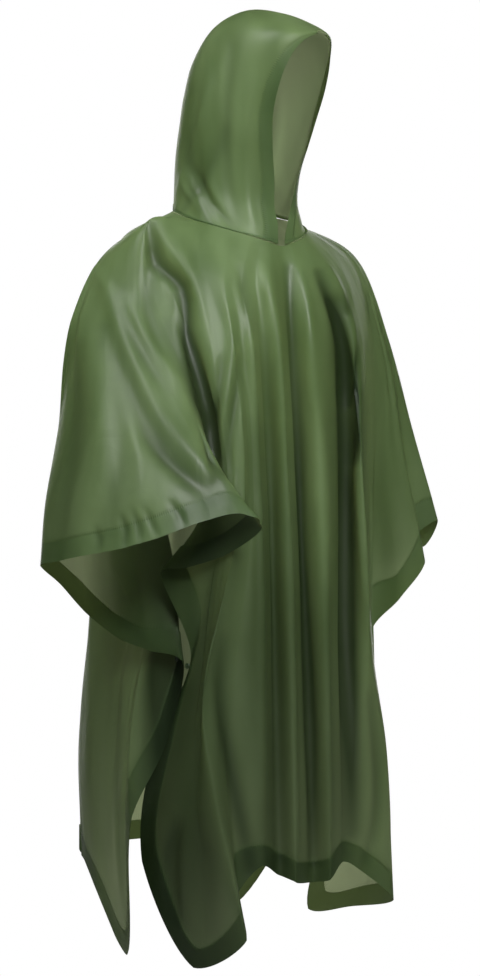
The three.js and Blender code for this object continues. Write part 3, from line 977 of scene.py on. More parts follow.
@dataclass
class Poncho:
    """The sheet's four panels and the hems folded in along its edge."""

    sheet: FilmSheet
    book: CreaseBook
    running: Sequence[RunningCrease]
    ripple: Ripple = Ripple()
    panels: Sequence[tuple[str, str, str]] = (
        ("front_panel", "right valley", "left snap, front"),
        ("left_sleeve", "left snap, front", "left snap, back"),
        ("back_panel", "left snap, back", "right snap, back"),
        ("right_sleeve", "right snap, back", "right valley"),
    )
    hems: Sequence[tuple[str, str, str]] = (
        ("front_hem", "front right corner", "front left corner"),
        ("left_side_hem", "front left corner", "back left corner"),
        ("back_hem", "back left corner", "back right corner"),
        ("right_side_hem", "back right corner", "front right corner"),
    )
    film_depth: float = 0.3
    hem_depth: float = 1.6
    hem_curl_start: float = 0.9
    weld_width: float = 1.7
    calm_rows: float = 1.5
    upper_rows: int = 20
    middle_rows: int = 118
    hem_rows: int = 12

    def rows(self) -> np.ndarray:
        """Spaces the fine rows out, closer where the film is welded.

        Returns:
            Their places, from the neck to the edge.
        """
        shoulder, last, edge = self.sheet.shoulder_rows, self.sheet.sheet_rows - 1, self.sheet.sheet_rows
        return np.concatenate([np.linspace(0, shoulder, self.upper_rows, endpoint=False),
                               np.linspace(shoulder, last, self.middle_rows, endpoint=False),
                               np.linspace(last, edge, self.hem_rows)])

    def columns(self, start: str, end: str) -> np.ndarray:
        """The fine columns from one fold round to another.

        Args:
            start: the first fold.
            end: the last fold.

        Returns:
            The columns' numbers.
        """
        count = len(self.sheet.folds) * self.sheet.columns_each
        first, last = self.sheet.column_of(start), self.sheet.column_of(end)
        return np.arange(first, last + 1 if last >= first else last + count + 1) % count

    def creased(self) -> tuple[np.ndarray, np.ndarray, np.ndarray]:
        """Lays all creases on the sheet.

        Returns:
            Its points, their outward directions and how much shade is painted there.
        """
        rows = self.rows()
        points = self.sheet.grid(rows)
        outward = outward_of(points, True)
        count = len(self.sheet.folds)
        steps = np.arange(points.shape[1]) / self.sheet.columns_each
        lift, valley = self.book.lift(points, outward)
        for crease in self.running:
            start = self.sheet.column_of(crease.fold) / self.sheet.columns_each
            rise = crease.height(start, steps, rows, count)
            lift += rise
            # Painted shade: running creases add their shade weight to the valley mark.
            valley = np.clip(valley + np.abs(rise) / crease.depth * crease.gather, 0, 1)
        calm = np.clip(rows / self.calm_rows, 0, 1)[:, None]
        lift = (lift + self.ripple.height(points)) * calm
        points = points + outward * (lift - self.film_depth)[..., None]
        return points, outward_of(points, True), valley

    def build(self, finish: bpy.types.Material) -> None:
        """Makes the panels and hems and sets them on the model.

        Args:
            finish: the film's material.
        """
        points, outward, valley = self.creased()
        rows, shape = self.rows(), points.shape[:2]
        hem_start = self.sheet.sheet_rows - 1
        edge = np.linalg.norm(points[-1] - np.roll(points[-1], 1, axis=0), axis=1)
        weld = np.exp(-((rows - hem_start) * self.sheet.hem_width / self.weld_width) ** 2)[:, None]
        # The valley mark is painted shade for the film's material.
        film = FilmGrid(points, outward, {"weld": np.broadcast_to(weld, shape),
                                          "along": np.broadcast_to(np.cumsum(edge), shape),
                                          "valley": valley})
        for node, start, end in self.panels:
            film.piece(node, slice(None), self.columns(start, end)).set_on_model(finish, Hold.HUNG)
        hem_rows = slice(self.upper_rows + self.middle_rows, None)
        share = rows[hem_rows] - hem_start
        curl = np.clip((share - self.hem_curl_start) / (1 - self.hem_curl_start), 0, 1) ** 2
        folded_in = (-self.hem_depth * (1 - curl))[:, None]
        for node, start, end in self.hems:
            film.piece(node, hem_rows, self.columns(start, end), folded_in).set_on_model(finish, Hold.FOLDED)


@dataclass
class Hood:
    """The hood's halves, the hem along the face edge and the band at the neck."""

    form: HoodForm
    book: CreaseBook
    ripple: Ripple = Ripple(long_lift=1.6, short_lift=0.6)
    hem_depth: float = 1.6
    hem_curl_columns: float = 0.8
    band_height: float = 0.8
    film_depth: float = 0.3
    weld_width: float = 1.5
    band_weld_row: float = 1.0
    band_weld_rows: float = 0.5
    calm_rows: float = 12.0
    band_rows: int = 7
    upper_rows: int = 78

    def sections(self) -> np.ndarray:
        """Spaces the fine rows out, closer in the band.

        Returns:
            Their places, from the neck to the brow.
        """
        last = len(self.form.sections) - 1
        return np.concatenate([np.linspace(0, self.form.band_section, self.band_rows, endpoint=False),
                               np.linspace(self.form.band_section, last, self.upper_rows)])

    def creased(self) -> tuple[np.ndarray, np.ndarray, np.ndarray]:
        """Lays all creases on the hood.

        Returns:
            Its points, their outward directions and how much shade is painted there.
        """
        points = self.form.grid(self.sections())
        outward = outward_of(points, False)
        calm = np.clip(np.arange(len(points)) / self.calm_rows, 0, 1)[:, None]
        lift, valley = self.book.lift(points, outward)
        lift = (lift + self.ripple.height(points)) * calm - self.film_depth
        points = points + outward * lift[..., None]
        return points, outward_of(points, False), valley

    def weld(self, reach: np.ndarray, hem: int, middle: int) -> np.ndarray:
        """The mark of the welds along the face hem and over the crown.

        Args:
            reach: the points' distances from the right face edge.
            hem: the column of the hem's inner line.
            middle: the column of the centre seam.

        Returns:
            The mark, from 0 to 1.
        """
        from_rim = np.minimum(reach, reach[:, -1:] - reach)
        at_hem = np.exp(-((from_rim - from_rim[:, hem:hem + 1]) / self.weld_width) ** 2)
        at_seam = np.exp(-((reach - reach[:, middle:middle + 1]) / self.weld_width) ** 2)
        return np.maximum(at_hem, at_seam)

    def band_weld(self, shape: tuple[int, int]) -> np.ndarray:
        """The mark of the welds along both edges of the neck band.

        Args:
            shape: how many rows and columns the hood has.

        Returns:
            The mark, from 0 to 1.
        """
        rows = np.arange(shape[0])
        lower = np.exp(-((rows - self.band_weld_row) / self.band_weld_rows) ** 2)
        upper = np.exp(-((rows - self.band_rows + self.band_weld_row) / self.band_weld_rows) ** 2)
        return np.broadcast_to(np.minimum(lower + upper, 1)[:, None], shape)

    def build(self, finish: bpy.types.Material) -> None:
        """Makes the hood's pieces and sets them on the model.

        Args:
            finish: the film's material.
        """
        points, outward, valley = self.creased()
        shape = points.shape[:2]
        columns = shape[1]
        middle, hem = (columns - 1) // 2, self.form.hem_columns - 1
        across = np.linalg.norm(np.diff(points, axis=1), axis=2)
        reach = np.concatenate([np.zeros((shape[0], 1)), np.cumsum(across, axis=1)], axis=1)
        rise = np.linalg.norm(np.diff(points, axis=0), axis=2)
        along = np.concatenate([np.zeros((1, columns)), np.cumsum(rise, axis=0)], axis=0)
        weld = self.weld(reach, hem, middle)
        # The valley mark is painted shade for the film's material.
        film = FilmGrid(points, outward, {"weld": weld, "along": along, "valley": valley})
        all_rows, right_hem, left_hem = slice(None), slice(0, hem + 1), slice(columns - hem - 1, columns)
        for node, half in (("hood_right", slice(0, middle + 1)), ("hood_left", slice(middle, columns))):
            film.piece(node, all_rows, half).set_on_model(finish, Hold.HUNG)
        folded_in = -self.hem_depth * np.clip(np.arange(hem + 1) / self.hem_curl_columns, 0, 1)
        film.piece("face_hem_right", all_rows, right_hem, folded_in).set_on_model(finish, Hold.FOLDED)
        film.piece("face_hem_left", all_rows, left_hem, folded_in[::-1]).set_on_model(finish, Hold.FOLDED)
        band = FilmGrid(points, outward, {"weld": self.band_weld(shape), "along": reach, "valley": valley})
        band.piece("neck_band", slice(0, self.band_rows + 1), slice(None),
                   self.band_height).set_on_model(finish, Hold.FOLDED)


@dataclass(frozen=True)
class Snap:
    """One half of a snap fastener: a round plastic disc with a rim and a dish."""

    node: str
    profile: Sequence[tuple[float, float]] = (
        (1.0, -0.5), (1.0, 0.05), (0.97, 0.3), (0.90, 0.46), (0.80, 0.5), (0.66, 0.44), (0.56, 0.26),
        (0.46, 0.22), (0.36, 0.30), (0.24, 0.42), (0.12, 0.47), (0.0, 0.48))
    sides: int = 40

    def measure(self) -> tuple[np.ndarray, np.ndarray, float, float]:
        """Measures the solid that the disc stands for.

        Returns:
            Its middle, its axis away from the garment, its radius and its height, in metres.
        """
        solid = np.array([tuple(v.co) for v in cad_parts[self.node].data.vertices])
        middle = (solid.max(axis=0) + solid.min(axis=0)) / 2
        axis = np.linalg.svd(solid - solid.mean(axis=0))[2][2]
        if axis @ np.array([middle[0], middle[1], 0.0]) < 0:
            axis = -axis
        away = solid - middle
        height = float(np.ptp(away @ axis))
        radius = float(np.linalg.norm(away - np.outer(away @ axis, axis), axis=1).max())
        return middle, axis, radius, height

    def faces(self) -> list[tuple[int, ...]]:
        """Lists the faces of the turned disc.

        Returns:
            The corners of each face, of the bands, the tip and the flat base.
        """
        faces = []
        levels = len(self.profile) - 1
        top, bottom = levels * self.sides, levels * self.sides + 1
        base = (levels - 1) * self.sides
        for step in range(self.sides):
            after = (step + 1) % self.sides
            for low in range(0, base, self.sides):
                high = low + self.sides
                faces.append((low + step, low + after, high + after, high + step))
            faces.append((base + step, base + after, top))
            faces.append((after, step, bottom))
        return faces

    def build(self, finish: bpy.types.Material) -> None:
        """Turns the disc on its solid's axis and sets it on the model.

        Args:
            finish: the plastic's material.
        """
        middle, axis, radius, height = self.measure()
        side = np.cross(axis, [0.0, 0.0, 1.0])
        side /= np.linalg.norm(side)
        turns = np.linspace(0, 2 * math.pi, self.sides, endpoint=False)
        rim = np.outer(np.cos(turns), side) + np.outer(np.sin(turns), np.cross(axis, side))
        rings = [middle + axis * (high * height) + rim * (wide * radius) for wide, high in self.profile[:-1]]
        tip = middle + axis * (self.profile[-1][1] * height)
        foot = middle + axis * (self.profile[0][1] * height)
        name = self.node + "_disc"
        mesh = bpy.data.meshes.new(name)
        mesh.from_pydata(np.vstack(rings + [tip[None, :], foot[None, :]]).tolist(), [], self.faces())
        mesh.shade_smooth()
        mesh.materials.append(finish)
        obj = bpy.data.objects.new(name, mesh)
        bpy.context.collection.objects.link(obj)
        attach(obj, "root")
        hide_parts(self.node)
        LOG.info("%s: radius %.1f mm, height %.1f mm", obj.name, radius / MM, height / MM)


@dataclass(frozen=True)
class PhotoCamera:
    """The camera, square to the garment's front right quarter and level with its middle."""

    angle: float = math.radians(PHOTO_QUARTER)
    distance: float = 6.5
    target: tuple[float, float, float] = (0.0044, -0.0035, -0.375)
    sensor: float = 36.0
    lens: float = 170.0
    far_end: float = 100.0

    def build(self) -> None:
        """Makes the camera and chooses it for the scene."""
        data = bpy.data.cameras.new("photo_camera")
        data.sensor_fit = "AUTO"
        data.sensor_width = self.sensor
        data.lens = self.lens
        data.clip_end = self.far_end
        camera = bpy.data.objects.new("photo_camera", data)
        towards = Vector((-math.sin(self.angle), -math.cos(self.angle), 0.0))
        camera.location = Vector(self.target) + towards * self.distance
        camera.rotation_euler = towards.to_track_quat("Z", "Y").to_euler()
        bpy.context.collection.objects.link(camera)
        bpy.context.scene.camera = camera


@dataclass(frozen=True)
class SoftLight:
    """One large soft light, placed round the garment by its angle from the front."""

    name: str
    angle: float
    distance: float
    up: float
    width: float
    height: float
    power: float
    aim_up: float = 0.0
    spread: float = 180.0

    def build(self, target: Vector) -> None:
        """Makes the light and aims it.

        Args:
            target: the point that it looks at.
        """
        data = bpy.data.lights.new(self.name, "AREA")
        data.shape = "RECTANGLE"
        data.size, data.size_y = self.width, self.height
        data.energy = self.power
        data.spread = math.radians(self.spread)
        light = bpy.data.objects.new(self.name, data)
        angle = math.radians(self.angle)
        light.location = target + Vector((-math.sin(angle), -math.cos(angle), 0.0)) * self.distance
        light.location.z += self.up
        aim = target + Vector((0.0, 0.0, self.aim_up))
        light.rotation_euler = (light.location - aim).to_track_quat("Z", "Y").to_euler()
        bpy.context.collection.objects.link(light)


@dataclass(frozen=True)
class Studio:
    """The pale floor, the bright surround and the soft lights."""

    target: tuple[float, float, float] = (0.0, 0.0, -0.375)
    floor_up: float = -1.46
    floor_radius: float = 3.2
    floor_sides: int = 96
    surround: Colour = (1.0, 1.0, 1.0, 1.0)
    seen_strength: float = 1.0
    lighting_strength: float = 0.05
    lights: Sequence[SoftLight] = (
        SoftLight("key_light", angle=78.0, distance=1.7, up=2.1, width=1.2, height=1.2, power=14.2,
                  aim_up=0.34, spread=75.0),
        SoftLight("fill_light", angle=18.0, distance=2.2, up=1.5, width=1.1, height=1.1, power=13.0,
                  aim_up=0.10, spread=58.0),
        SoftLight("backdrop_light", angle=216.0, distance=3.0, up=0.35, width=3.0, height=2.0,
                  power=62.0),
    )

    def build(self) -> None:
        """Makes the stage."""
        turns = np.linspace(0, 2 * math.pi, self.floor_sides, endpoint=False)
        radius = self.floor_radius
        edge = [(radius * math.cos(turn), radius * math.sin(turn), self.floor_up) for turn in turns]
        mesh = bpy.data.meshes.new("studio_floor")
        mesh.from_pydata(edge, [], [tuple(range(self.floor_sides))])
        mesh.materials.append(FloorFinish().material())
        floor = bpy.data.objects.new("studio_floor", mesh)
        bpy.context.collection.objects.link(floor)
        for light in self.lights:
            light.build(Vector(self.target))
        self.build_surround()

    def build_surround(self) -> None:
        """Makes the plain bright surround."""
        world = bpy.data.worlds.new("studio_surround")
        world.use_nodes = True
        nodes, links = world.node_tree.nodes, world.node_tree.links
        nodes.clear()
        path = nodes.new("ShaderNodeLightPath")
        strength = nodes.new("ShaderNodeMapRange")
        strength.inputs["To Min"].default_value = self.lighting_strength
        strength.inputs["To Max"].default_value = self.seen_strength
        back = nodes.new("ShaderNodeBackground")
        back.inputs["Color"].default_value = self.surround
        out = nodes.new("ShaderNodeOutputWorld")
        links.new(path.outputs["Is Camera Ray"], strength.inputs["Value"])
        links.new(strength.outputs[0], back.inputs["Strength"])
        links.new(back.outputs[0], out.inputs["Surface"])
        bpy.context.scene.world = world
        bpy.context.scene.view_settings.view_transform = "Standard"


# The folds, each with its place on the neck seam in degrees and its stations: across, toward and up.
FRONT_FOLDS = [
    Fold("right valley", 72, [(-109, 124, -5), (-101, 138, -67), (-67, 172, -158), (-42, 180, -254),
          (-33, 180, -339), (-53, 166, -422), (-103, 148, -492)]),
    Fold("right snap, front", 66, [(-87, 126, -24), (-55, 163, -117), (-33, 186, -254), (-20, 183, -385),
          (-44, 171, -522), (-62, 164, -605)]),
    Fold("flap, upper edge", 60, [(-63, 130, -39), (-41, 168, -131), (-23, 189, -255), (-14, 187, -389),
          (-37, 180, -529), (-56, 176, -652), (-118, 150, -752)]),
    Fold("flap, lower edge", 54, [(-45, 140, -60), (-30, 172, -144), (-14, 190, -255), (-5, 190, -391),
          (-30, 188, -528), (-49, 186, -665), (-71, 168, -797), (-132, 114, -893)]),
    Fold("front right corner", 48, [(-30, 148, -75), (-16, 175, -158), (-4, 189, -255), (3, 191, -391),
          (-23, 196, -528), (-45, 196, -665), (-49, 187, -802), (-42, 166, -927), (-59, 134, -1038)]),
    Fold("right ridge", 42, [(-16, 150, -82), (-5, 176, -158), (7, 185, -254), (11, 189, -391),
          (-18, 203, -528), (-45, 207, -664), (-30, 208, -787), (15, 196, -994)]),
    Fold("behind the ridge", 35, [(-4, 146, -86), (7, 166, -158), (19, 166, -282), (22, 162, -419),
          (3, 165, -584), (-8, 168, -749), (4, 160, -932)]),
    Fold("second ridge", 28, [(10, 142, -88), (21, 164, -158), (32, 160, -295), (36, 158, -529),
          (36, 156, -749), (36, 150, -896)]),
    Fold("long valley, right", 20, [(28, 128, -94), (37, 138, -157), (47, 124, -336), (54, 118, -599),
          (61, 114, -912)]),
    Fold("middle ridge", 10, [(47, 126, -94), (58, 138, -157), (68, 134, -336), (76, 128, -599),
          (84, 126, -921)]),
    Fold("long valley, middle", 0, [(69, 98, -93), (78, 102, -170), (88, 84, -364), (99, 82, -614),
          (109, 78, -924)]),
    Fold("left of middle", -11, [(92, 92, -93), (104, 106, -163), (117, 98, -336), (126, 94, -600),
          (132, 90, -920)]),
    Fold("left valley", -23, [(120, 58, -77), (145, 48, -151), (157, 22, -322), (153, 26, -532),
          (151, 50, -898)]),
    Fold("left ridge", -35, [(136, 34, -72), (163, 38, -161), (176, 42, -350), (187, 32, -560),
          (183, 20, -729), (177, 12, -914)]),
    Fold("front left side", -46, [(144, 0, -62), (175, 8, -152), (183, 0, -350), (193, -6, -590),
          (212, -18, -738), (224, -45, -960)]),
    Fold("front left tail", -56, [(152, -32, -58), (181, -25, -151), (186, -34, -349), (194, -25, -590),
          (210, -38, -761), (211, -72, -877), (166, -112, -975)]),
    Fold("front left corner", -65, [(158, -58, -53), (188, -52, -158), (189, -54, -349),
          (193, -42, -579), (199, -54, -762), (163, -112, -909), (104, -140, -981)]),
    Fold("flap, left front", -72, [(163, -76, -53), (192, -69, -157), (194, -69, -349), (196, -57, -531),
          (190, -56, -662), (149, -104, -793)]),
    Fold("left snap, front", -79, [(166, -92, -52), (198, -84, -161), (200, -86, -349),
          (192, -74, -580)]),
]

LEFT_SLEEVE_FOLDS = [
    Fold("front of cuff", -84, [(167, -102, -48), (206, -98, -163), (216, -108, -349),
          (235, -120, -533)]),
    Fold("lower flute", -89, [(169, -110, -45), (212, -108, -166), (241, -126, -335), (271, -142, -483)]),
    Fold("between flutes", -94, [(169, -118, -42), (215, -122, -165), (242, -146, -320),
          (259, -165, -444)]),
    Fold("upper flute", -99, [(169, -125, -39), (217, -138, -155), (254, -155, -291), (292, -172, -421)]),
    Fold("top of sleeve", -104, [(168, -134, -37), (214, -158, -147), (249, -184, -305),
          (276, -205, -458)]),
    Fold("back of cuff", -110, [(112, -166, -45), (156, -226, -150), (162, -247, -330),
          (183, -234, -505)]),
    Fold("under the cuff", -117, [(97, -165, -42), (115, -214, -150), (119, -218, -340),
          (151, -204, -555)]),
    Fold("towards the snap", -124, [(84, -160, -38), (92, -178, -150), (113, -170, -340),
          (162, -144, -590)]),
    Fold("left snap, back", -132, [(71, -152, -32), (80, -141, -150), (101, -124, -340),
          (133, -99, -480), (174, -73, -584)]),
]

BACK_FOLDS = [
    Fold("flap, left back", -140, [(57, -151, -28), (62, -158, -150), (71, -149, -340), (93, -146, -500),
          (105, -145, -640), (127, -130, -760)]),
    Fold("back left corner", -148, [(39, -155, -26), (40, -173, -150), (47, -184, -340),
          (68, -185, -520), (80, -184, -700), (37, -206, -860), (-7, -230, -985)]),
    Fold("left back ridge", -157, [(12, -154, -30), (5, -176, -150), (1, -196, -340), (-1, -222, -560),
          (-31, -247, -760), (-55, -252, -930)]),
    Fold("left back valley", -166, [(-15, -136, -32), (-21, -156, -150), (-25, -168, -340),
          (-31, -179, -560), (-45, -188, -760), (-58, -188, -900)]),
    Fold("back ridge", -174, [(-45, -122, -34), (-56, -144, -150), (-69, -159, -340), (-84, -178, -560),
          (-100, -193, -760), (-112, -199, -890)]),
    Fold("back middle valley", 178, [(-68, -99, -34), (-83, -116, -150), (-93, -125, -340),
          (-106, -136, -560), (-119, -143, -760), (-127, -147, -880)]),
    Fold("right back ridge", 170, [(-97, -79, -33), (-116, -97, -150), (-132, -110, -340),
          (-155, -127, -560), (-177, -139, -760), (-188, -140, -885)]),
    Fold("right back valley", 161, [(-123, -51, -31), (-140, -63, -150), (-155, -69, -340),
          (-176, -76, -560), (-193, -75, -760), (-201, -72, -880)]),
    Fold("right side ridge", 152, [(-148, -27, -29), (-169, -38, -150), (-191, -43, -340),
          (-209, -95, -592), (-223, -98, -736), (-223, -92, -896)]),
    Fold("right side", 144, [(-157, -9, -31), (-174, -11, -150), (-187, -9, -340), (-213, -40, -591),
          (-223, -44, -733), (-216, -48, -906)]),
    Fold("side valley", 137, [(-162, 7, -31), (-166, 10, -150), (-163, 21, -340), (-174, 34, -574),
          (-189, 40, -728), (-194, 12, -944)]),
    Fold("back right corner", 130, [(-165, 17, -31), (-157, 26, -150), (-143, 48, -340),
          (-142, 68, -545), (-160, 98, -683), (-169, 108, -849), (-152, 108, -1023)]),
    Fold("flap, back lower edge", 124, [(-165, 27, -31), (-149, 38, -150), (-131, 64, -340),
          (-120, 88, -531), (-138, 124, -654), (-149, 140, -750), (-147, 162, -834)]),
    Fold("flap, back upper edge", 118, [(-165, 35, -32), (-145, 47, -150), (-121, 74, -340),
          (-103, 92, -517), (-116, 136, -623), (-98, 186, -727)]),
    Fold("right snap, back", 112, [(-164, 50, -34), (-140, 64, -150), (-117, 97, -340), (-84, 118, -495),
          (-80, 146, -573), (-74, 188, -613)]),
]

RIGHT_SLEEVE_FOLDS = [
    Fold("back of lip", 109, [(-167, 59, -38), (-174, 63, -150), (-155, 81, -330), (-142, 104, -455),
          (-121, 138, -599)]),
    Fold("lip", 106, [(-172, 66, -42), (-200, 62, -150), (-186, 64, -330), (-179, 79, -455),
          (-164, 106, -583)]),
    Fold("back of elbow", 103, [(-177, 72, -44), (-222, 67, -150), (-221, 61, -325), (-216, 67, -448),
          (-211, 88, -547)]),
    Fold("behind the tip", 100, [(-180, 80, -47), (-228, 79, -140), (-247, 74, -300), (-247, 86, -420),
          (-244, 112, -509)]),
    Fold("tip of cuff", 97, [(-174, 85, -43), (-218, 86, -120), (-243, 88, -267), (-265, 134, -405),
          (-270, 152, -482)]),
    Fold("outer arm", 94, [(-167, 92, -38), (-211, 100, -121), (-229, 138, -267), (-244, 190, -405),
          (-247, 206, -476)]),
    Fold("light strip", 91, [(-160, 99, -33), (-195, 120, -122), (-203, 182, -268), (-209, 240, -398),
          (-211, 256, -467)]),
    Fold("cuff front, outer", 88, [(-153, 105, -28), (-179, 134, -118), (-175, 208, -262),
          (-162, 276, -391), (-156, 292, -456)]),
    Fold("cuff front, middle", 85, [(-145, 110, -22), (-164, 143, -116), (-144, 220, -255),
          (-113, 286, -378), (-102, 300, -441)]),
    Fold("cuff front, inner", 82, [(-137, 116, -17), (-149, 148, -112), (-114, 222, -252),
          (-67, 276, -361), (-48, 290, -421)]),
    Fold("over the ridge", 79.5, [(-131, 119, -13), (-135, 150, -105), (-90, 216, -241),
          (-30, 262, -351), (6, 268, -409)]),
    Fold("ridge of the flute", 77.5, [(-126, 121, -9), (-124, 148, -99), (-76, 206, -234),
          (-16, 244, -353), (37, 248, -427)]),
    Fold("inside the flute", 75.5, [(-121, 123, -5), (-116, 144, -94), (-71, 194, -220),
          (-30, 216, -340), (-15, 212, -419), (-11, 202, -465)]),
    Fold("back of the flute", 73.7, [(-116, 123, -4), (-108, 139, -80), (-67, 183, -193),
          (-40, 198, -323), (-41, 194, -412), (-70, 184, -485)]),
]


# Creases seen from the front right: across and up, then half width and depth, and for some the weight of the
# painted shade in their trough.
FRONT_CREASES = [
    # The near sleeve: pulled from the shoulder to the tip of the flute, and gathers at the cuff.
    Crease([(-168, -118), (-134, -208), (-114, -256), (-88, -296), (-54, -334), (-14, -366),
            (28, -412)], 14, 4.8, Pull.RIDGE),
    Crease([(-178, -160), (-148, -228), (-128, -276), (-104, -318), (-70, -356),
            (-30, -388)], 16, 4.8, Pull.TROUGH),
    Crease([(-158, -136), (-138, -176), (-118, -212), (-92, -248)], 10, 3.2, Pull.TROUGH),
    Crease([(-148, -118), (-122, -166), (-98, -204), (-74, -234)], 8, 2.4, Pull.RIDGE),
    Crease([(-130, -296), (-106, -326), (-74, -354), (-44, -378)], 10, 2.4, Pull.TROUGH),
    Crease([(-118, -50), (-122, -98), (-118, -146), (-104, -186)], 10, 3.2, Pull.TROUGH),
    Crease([(-212, -148), (-198, -200), (-190, -256), (-186, -324), (-194, -392)], 18, 4.0, Pull.RIDGE),
    Crease([(-228, -186), (-220, -256), (-224, -324), (-238, -392), (-246, -446)], 14, 3.2, Pull.TROUGH),
    Crease([(-168, -234), (-160, -296), (-164, -364), (-178, -432)], 16, 3.2, Pull.TROUGH),
    Crease([(-138, -298), (-128, -350), (-130, -398), (-142, -440)], 11, 2.4, Pull.RIDGE),
    Crease([(-198, -66), (-180, -98), (-168, -140)], 10, 2.4, Pull.RIDGE),
    Crease([(-156, -414), (-150, -432), (-152, -454)], 5, 3.2, Pull.TROUGH),
    Crease([(-138, -408), (-132, -426), (-130, -446)], 5, 3.2, Pull.TROUGH),
    Crease([(-122, -404), (-114, -422), (-106, -440)], 5, 2.6, Pull.TROUGH),
    Crease([(-88, -394), (-76, -410), (-70, -426)], 5, 2.6, Pull.TROUGH),
    Crease([(-192, -430), (-188, -446), (-190, -462)], 5, 2.6, Pull.TROUGH),
    # The front: long valleys and ridges that hang from the neck and the shoulder.
    Crease([(-118, -12), (-108, -64), (-76, -98), (-68, -158), (-56, -202), (-42, -254), (-34, -298),
            (-24, -364)], 11, 10.4, Pull.TROUGH),
    Crease([(-82, -34), (-54, -96), (-44, -158), (-32, -212), (-24, -268)], 11, 3.9, Pull.RIDGE),
    Crease([(-18, -202), (-24, -248), (-32, -296), (-30, -340)], 8, 5.2, Pull.TROUGH),
    Crease([(6, -202), (2, -248), (-6, -296), (-10, -350)], 8, 4.5, Pull.TROUGH),
    Crease([(-6, -172), (-10, -226), (-20, -288), (-20, -350)], 8, 3.9, Pull.RIDGE),
    Crease([(74, -72), (76, -172), (82, -254), (86, -336), (88, -420), (94, -530), (100, -640),
            (104, -750), (106, -894)], 9, 4.5, Pull.TROUGH, gather=2.2),
    Crease([(56, -102), (60, -172), (64, -254), (68, -336), (72, -420), (78, -530), (82, -640),
            (88, -750), (90, -872)], 13, 3.9, Pull.RIDGE),
    Crease([(36, -116), (42, -254), (46, -392), (50, -530), (54, -666), (58, -804),
            (60, -890)], 10, 3.2, Pull.TROUGH),
    Crease([(20, -116), (24, -254), (30, -392), (34, -530), (36, -666), (38, -804)], 10, 3.9, Pull.RIDGE),
    Crease([(112, -158), (118, -282), (122, -420), (124, -556), (126, -694),
            (130, -832)], 14, 3.9, Pull.RIDGE),
    Crease([(132, -282), (140, -392), (142, -530), (144, -666), (148, -804),
            (152, -886)], 11, 3.2, Pull.TROUGH, gather=1.6),
    Crease([(144, -116), (148, -198), (150, -282), (152, -392), (154, -502), (158, -612), (166, -750),
            (168, -860)], 13, 10.4, Pull.TROUGH, gather=1.3),
    Crease([(166, -254), (170, -364), (178, -474), (184, -570)], 8, 5.2, Pull.RIDGE),
    Crease([(116, -76), (132, -116), (146, -150), (154, -182),
            (156, -254)], 8, 6.5, Pull.TROUGH, gather=2.0),
    Crease([(160, -56), (162, -88), (158, -128)], 6, 3.9, Pull.TROUGH, gather=2.4),
    Crease([(188, -102), (184, -144), (178, -188), (172, -256),
            (168, -336)], 8, 7.8, Pull.TROUGH, gather=2.0),
    Crease([(134, -64), (150, -102), (166, -144), (174, -186)], 8, 3.9, Pull.RIDGE),
    Crease([(6, -72), (14, -116), (20, -164)], 8, 3.9, Pull.TROUGH),
    Crease([(36, -64), (44, -106), (46, -158)], 8, 3.2, Pull.RIDGE),
    Crease([(90, -72), (100, -116), (102, -186), (104, -254)], 8, 3.9, Pull.RIDGE),
    Crease([(-14, -584), (-20, -666), (-10, -750), (6, -832), (20, -900)], 11, 5.2, Pull.TROUGH),
    Crease([(-32, -652), (-16, -736), (0, -810), (14, -886)], 8, 3.9, Pull.RIDGE),
    Crease([(-54, -804), (-68, -872), (-72, -942), (-64, -1004)], 13, 5.2, Pull.RIDGE),
    Crease([(-82, -846), (-90, -900), (-82, -970)], 11, 3.9, Pull.TROUGH),
    Crease([(192, -666), (200, -762), (198, -846), (184, -900)], 8, 5.2, Pull.TROUGH),
    Crease([(-202, -618), (-204, -702), (-200, -814), (-186, -928), (-166, -998)], 14, 6.5, Pull.RIDGE),
    Crease([(-170, -660), (-178, -772), (-176, -886), (-164, -984)], 11, 6.5, Pull.TROUGH),
    Crease([(-136, -632), (-146, -730), (-160, -814)], 10, 5.2, Pull.RIDGE),
]

# Folds of the hood above the neck seam and round its crown.
HOOD_CREASES = [
    Crease([(-80, 60), (-64, 30), (-43, -5)], 5, 3, Pull.RIDGE),
    Crease([(-71, 67), (-48, 18), (-19, -30)], 5, 3.5, Pull.RIDGE),
    Crease([(-58, 70), (-32, 22), (0, -20)], 5, 3, Pull.TROUGH),
    Crease([(-70, 130), (-62, 60), (-40, 10)], 9, 3, Pull.TROUGH),
    Crease([(-40, 210), (-44, 130), (-36, 50), (-20, 0)], 9, 3, Pull.RIDGE),
    Crease([(-4, 240), (-14, 150), (-12, 60), (4, -10)], 8, 3, Pull.TROUGH),
    Crease([(22, 190), (14, 110), (16, 30), (26, -20)], 7, 2.5, Pull.RIDGE),
    Crease([(60, 120), (30, 60), (-10, 10), (-60, -20)], 9, 3, Pull.TROUGH, Spread.RIGHT_SIDE),
    Crease([(40, 180), (10, 100), (-30, 40)], 9, 3, Pull.RIDGE, Spread.RIGHT_SIDE),
    Crease([(-50, 150), (-20, 80), (20, 30)], 9, 3.5, Pull.TROUGH, Spread.BACK),
    Crease([(50, 170), (24, 90), (-4, 40)], 9, 3, Pull.RIDGE, Spread.BACK),
    Crease([(0, 240), (6, 160), (-6, 90)], 8, 3, Pull.TROUGH, Spread.BACK),
    Crease([(-60, 140), (-30, 70), (10, 20)], 9, 3, Pull.RIDGE, Spread.LEFT_SIDE),
    Crease([(10, 200), (20, 110), (40, 40)], 9, 3, Pull.TROUGH, Spread.LEFT_SIDE),
]
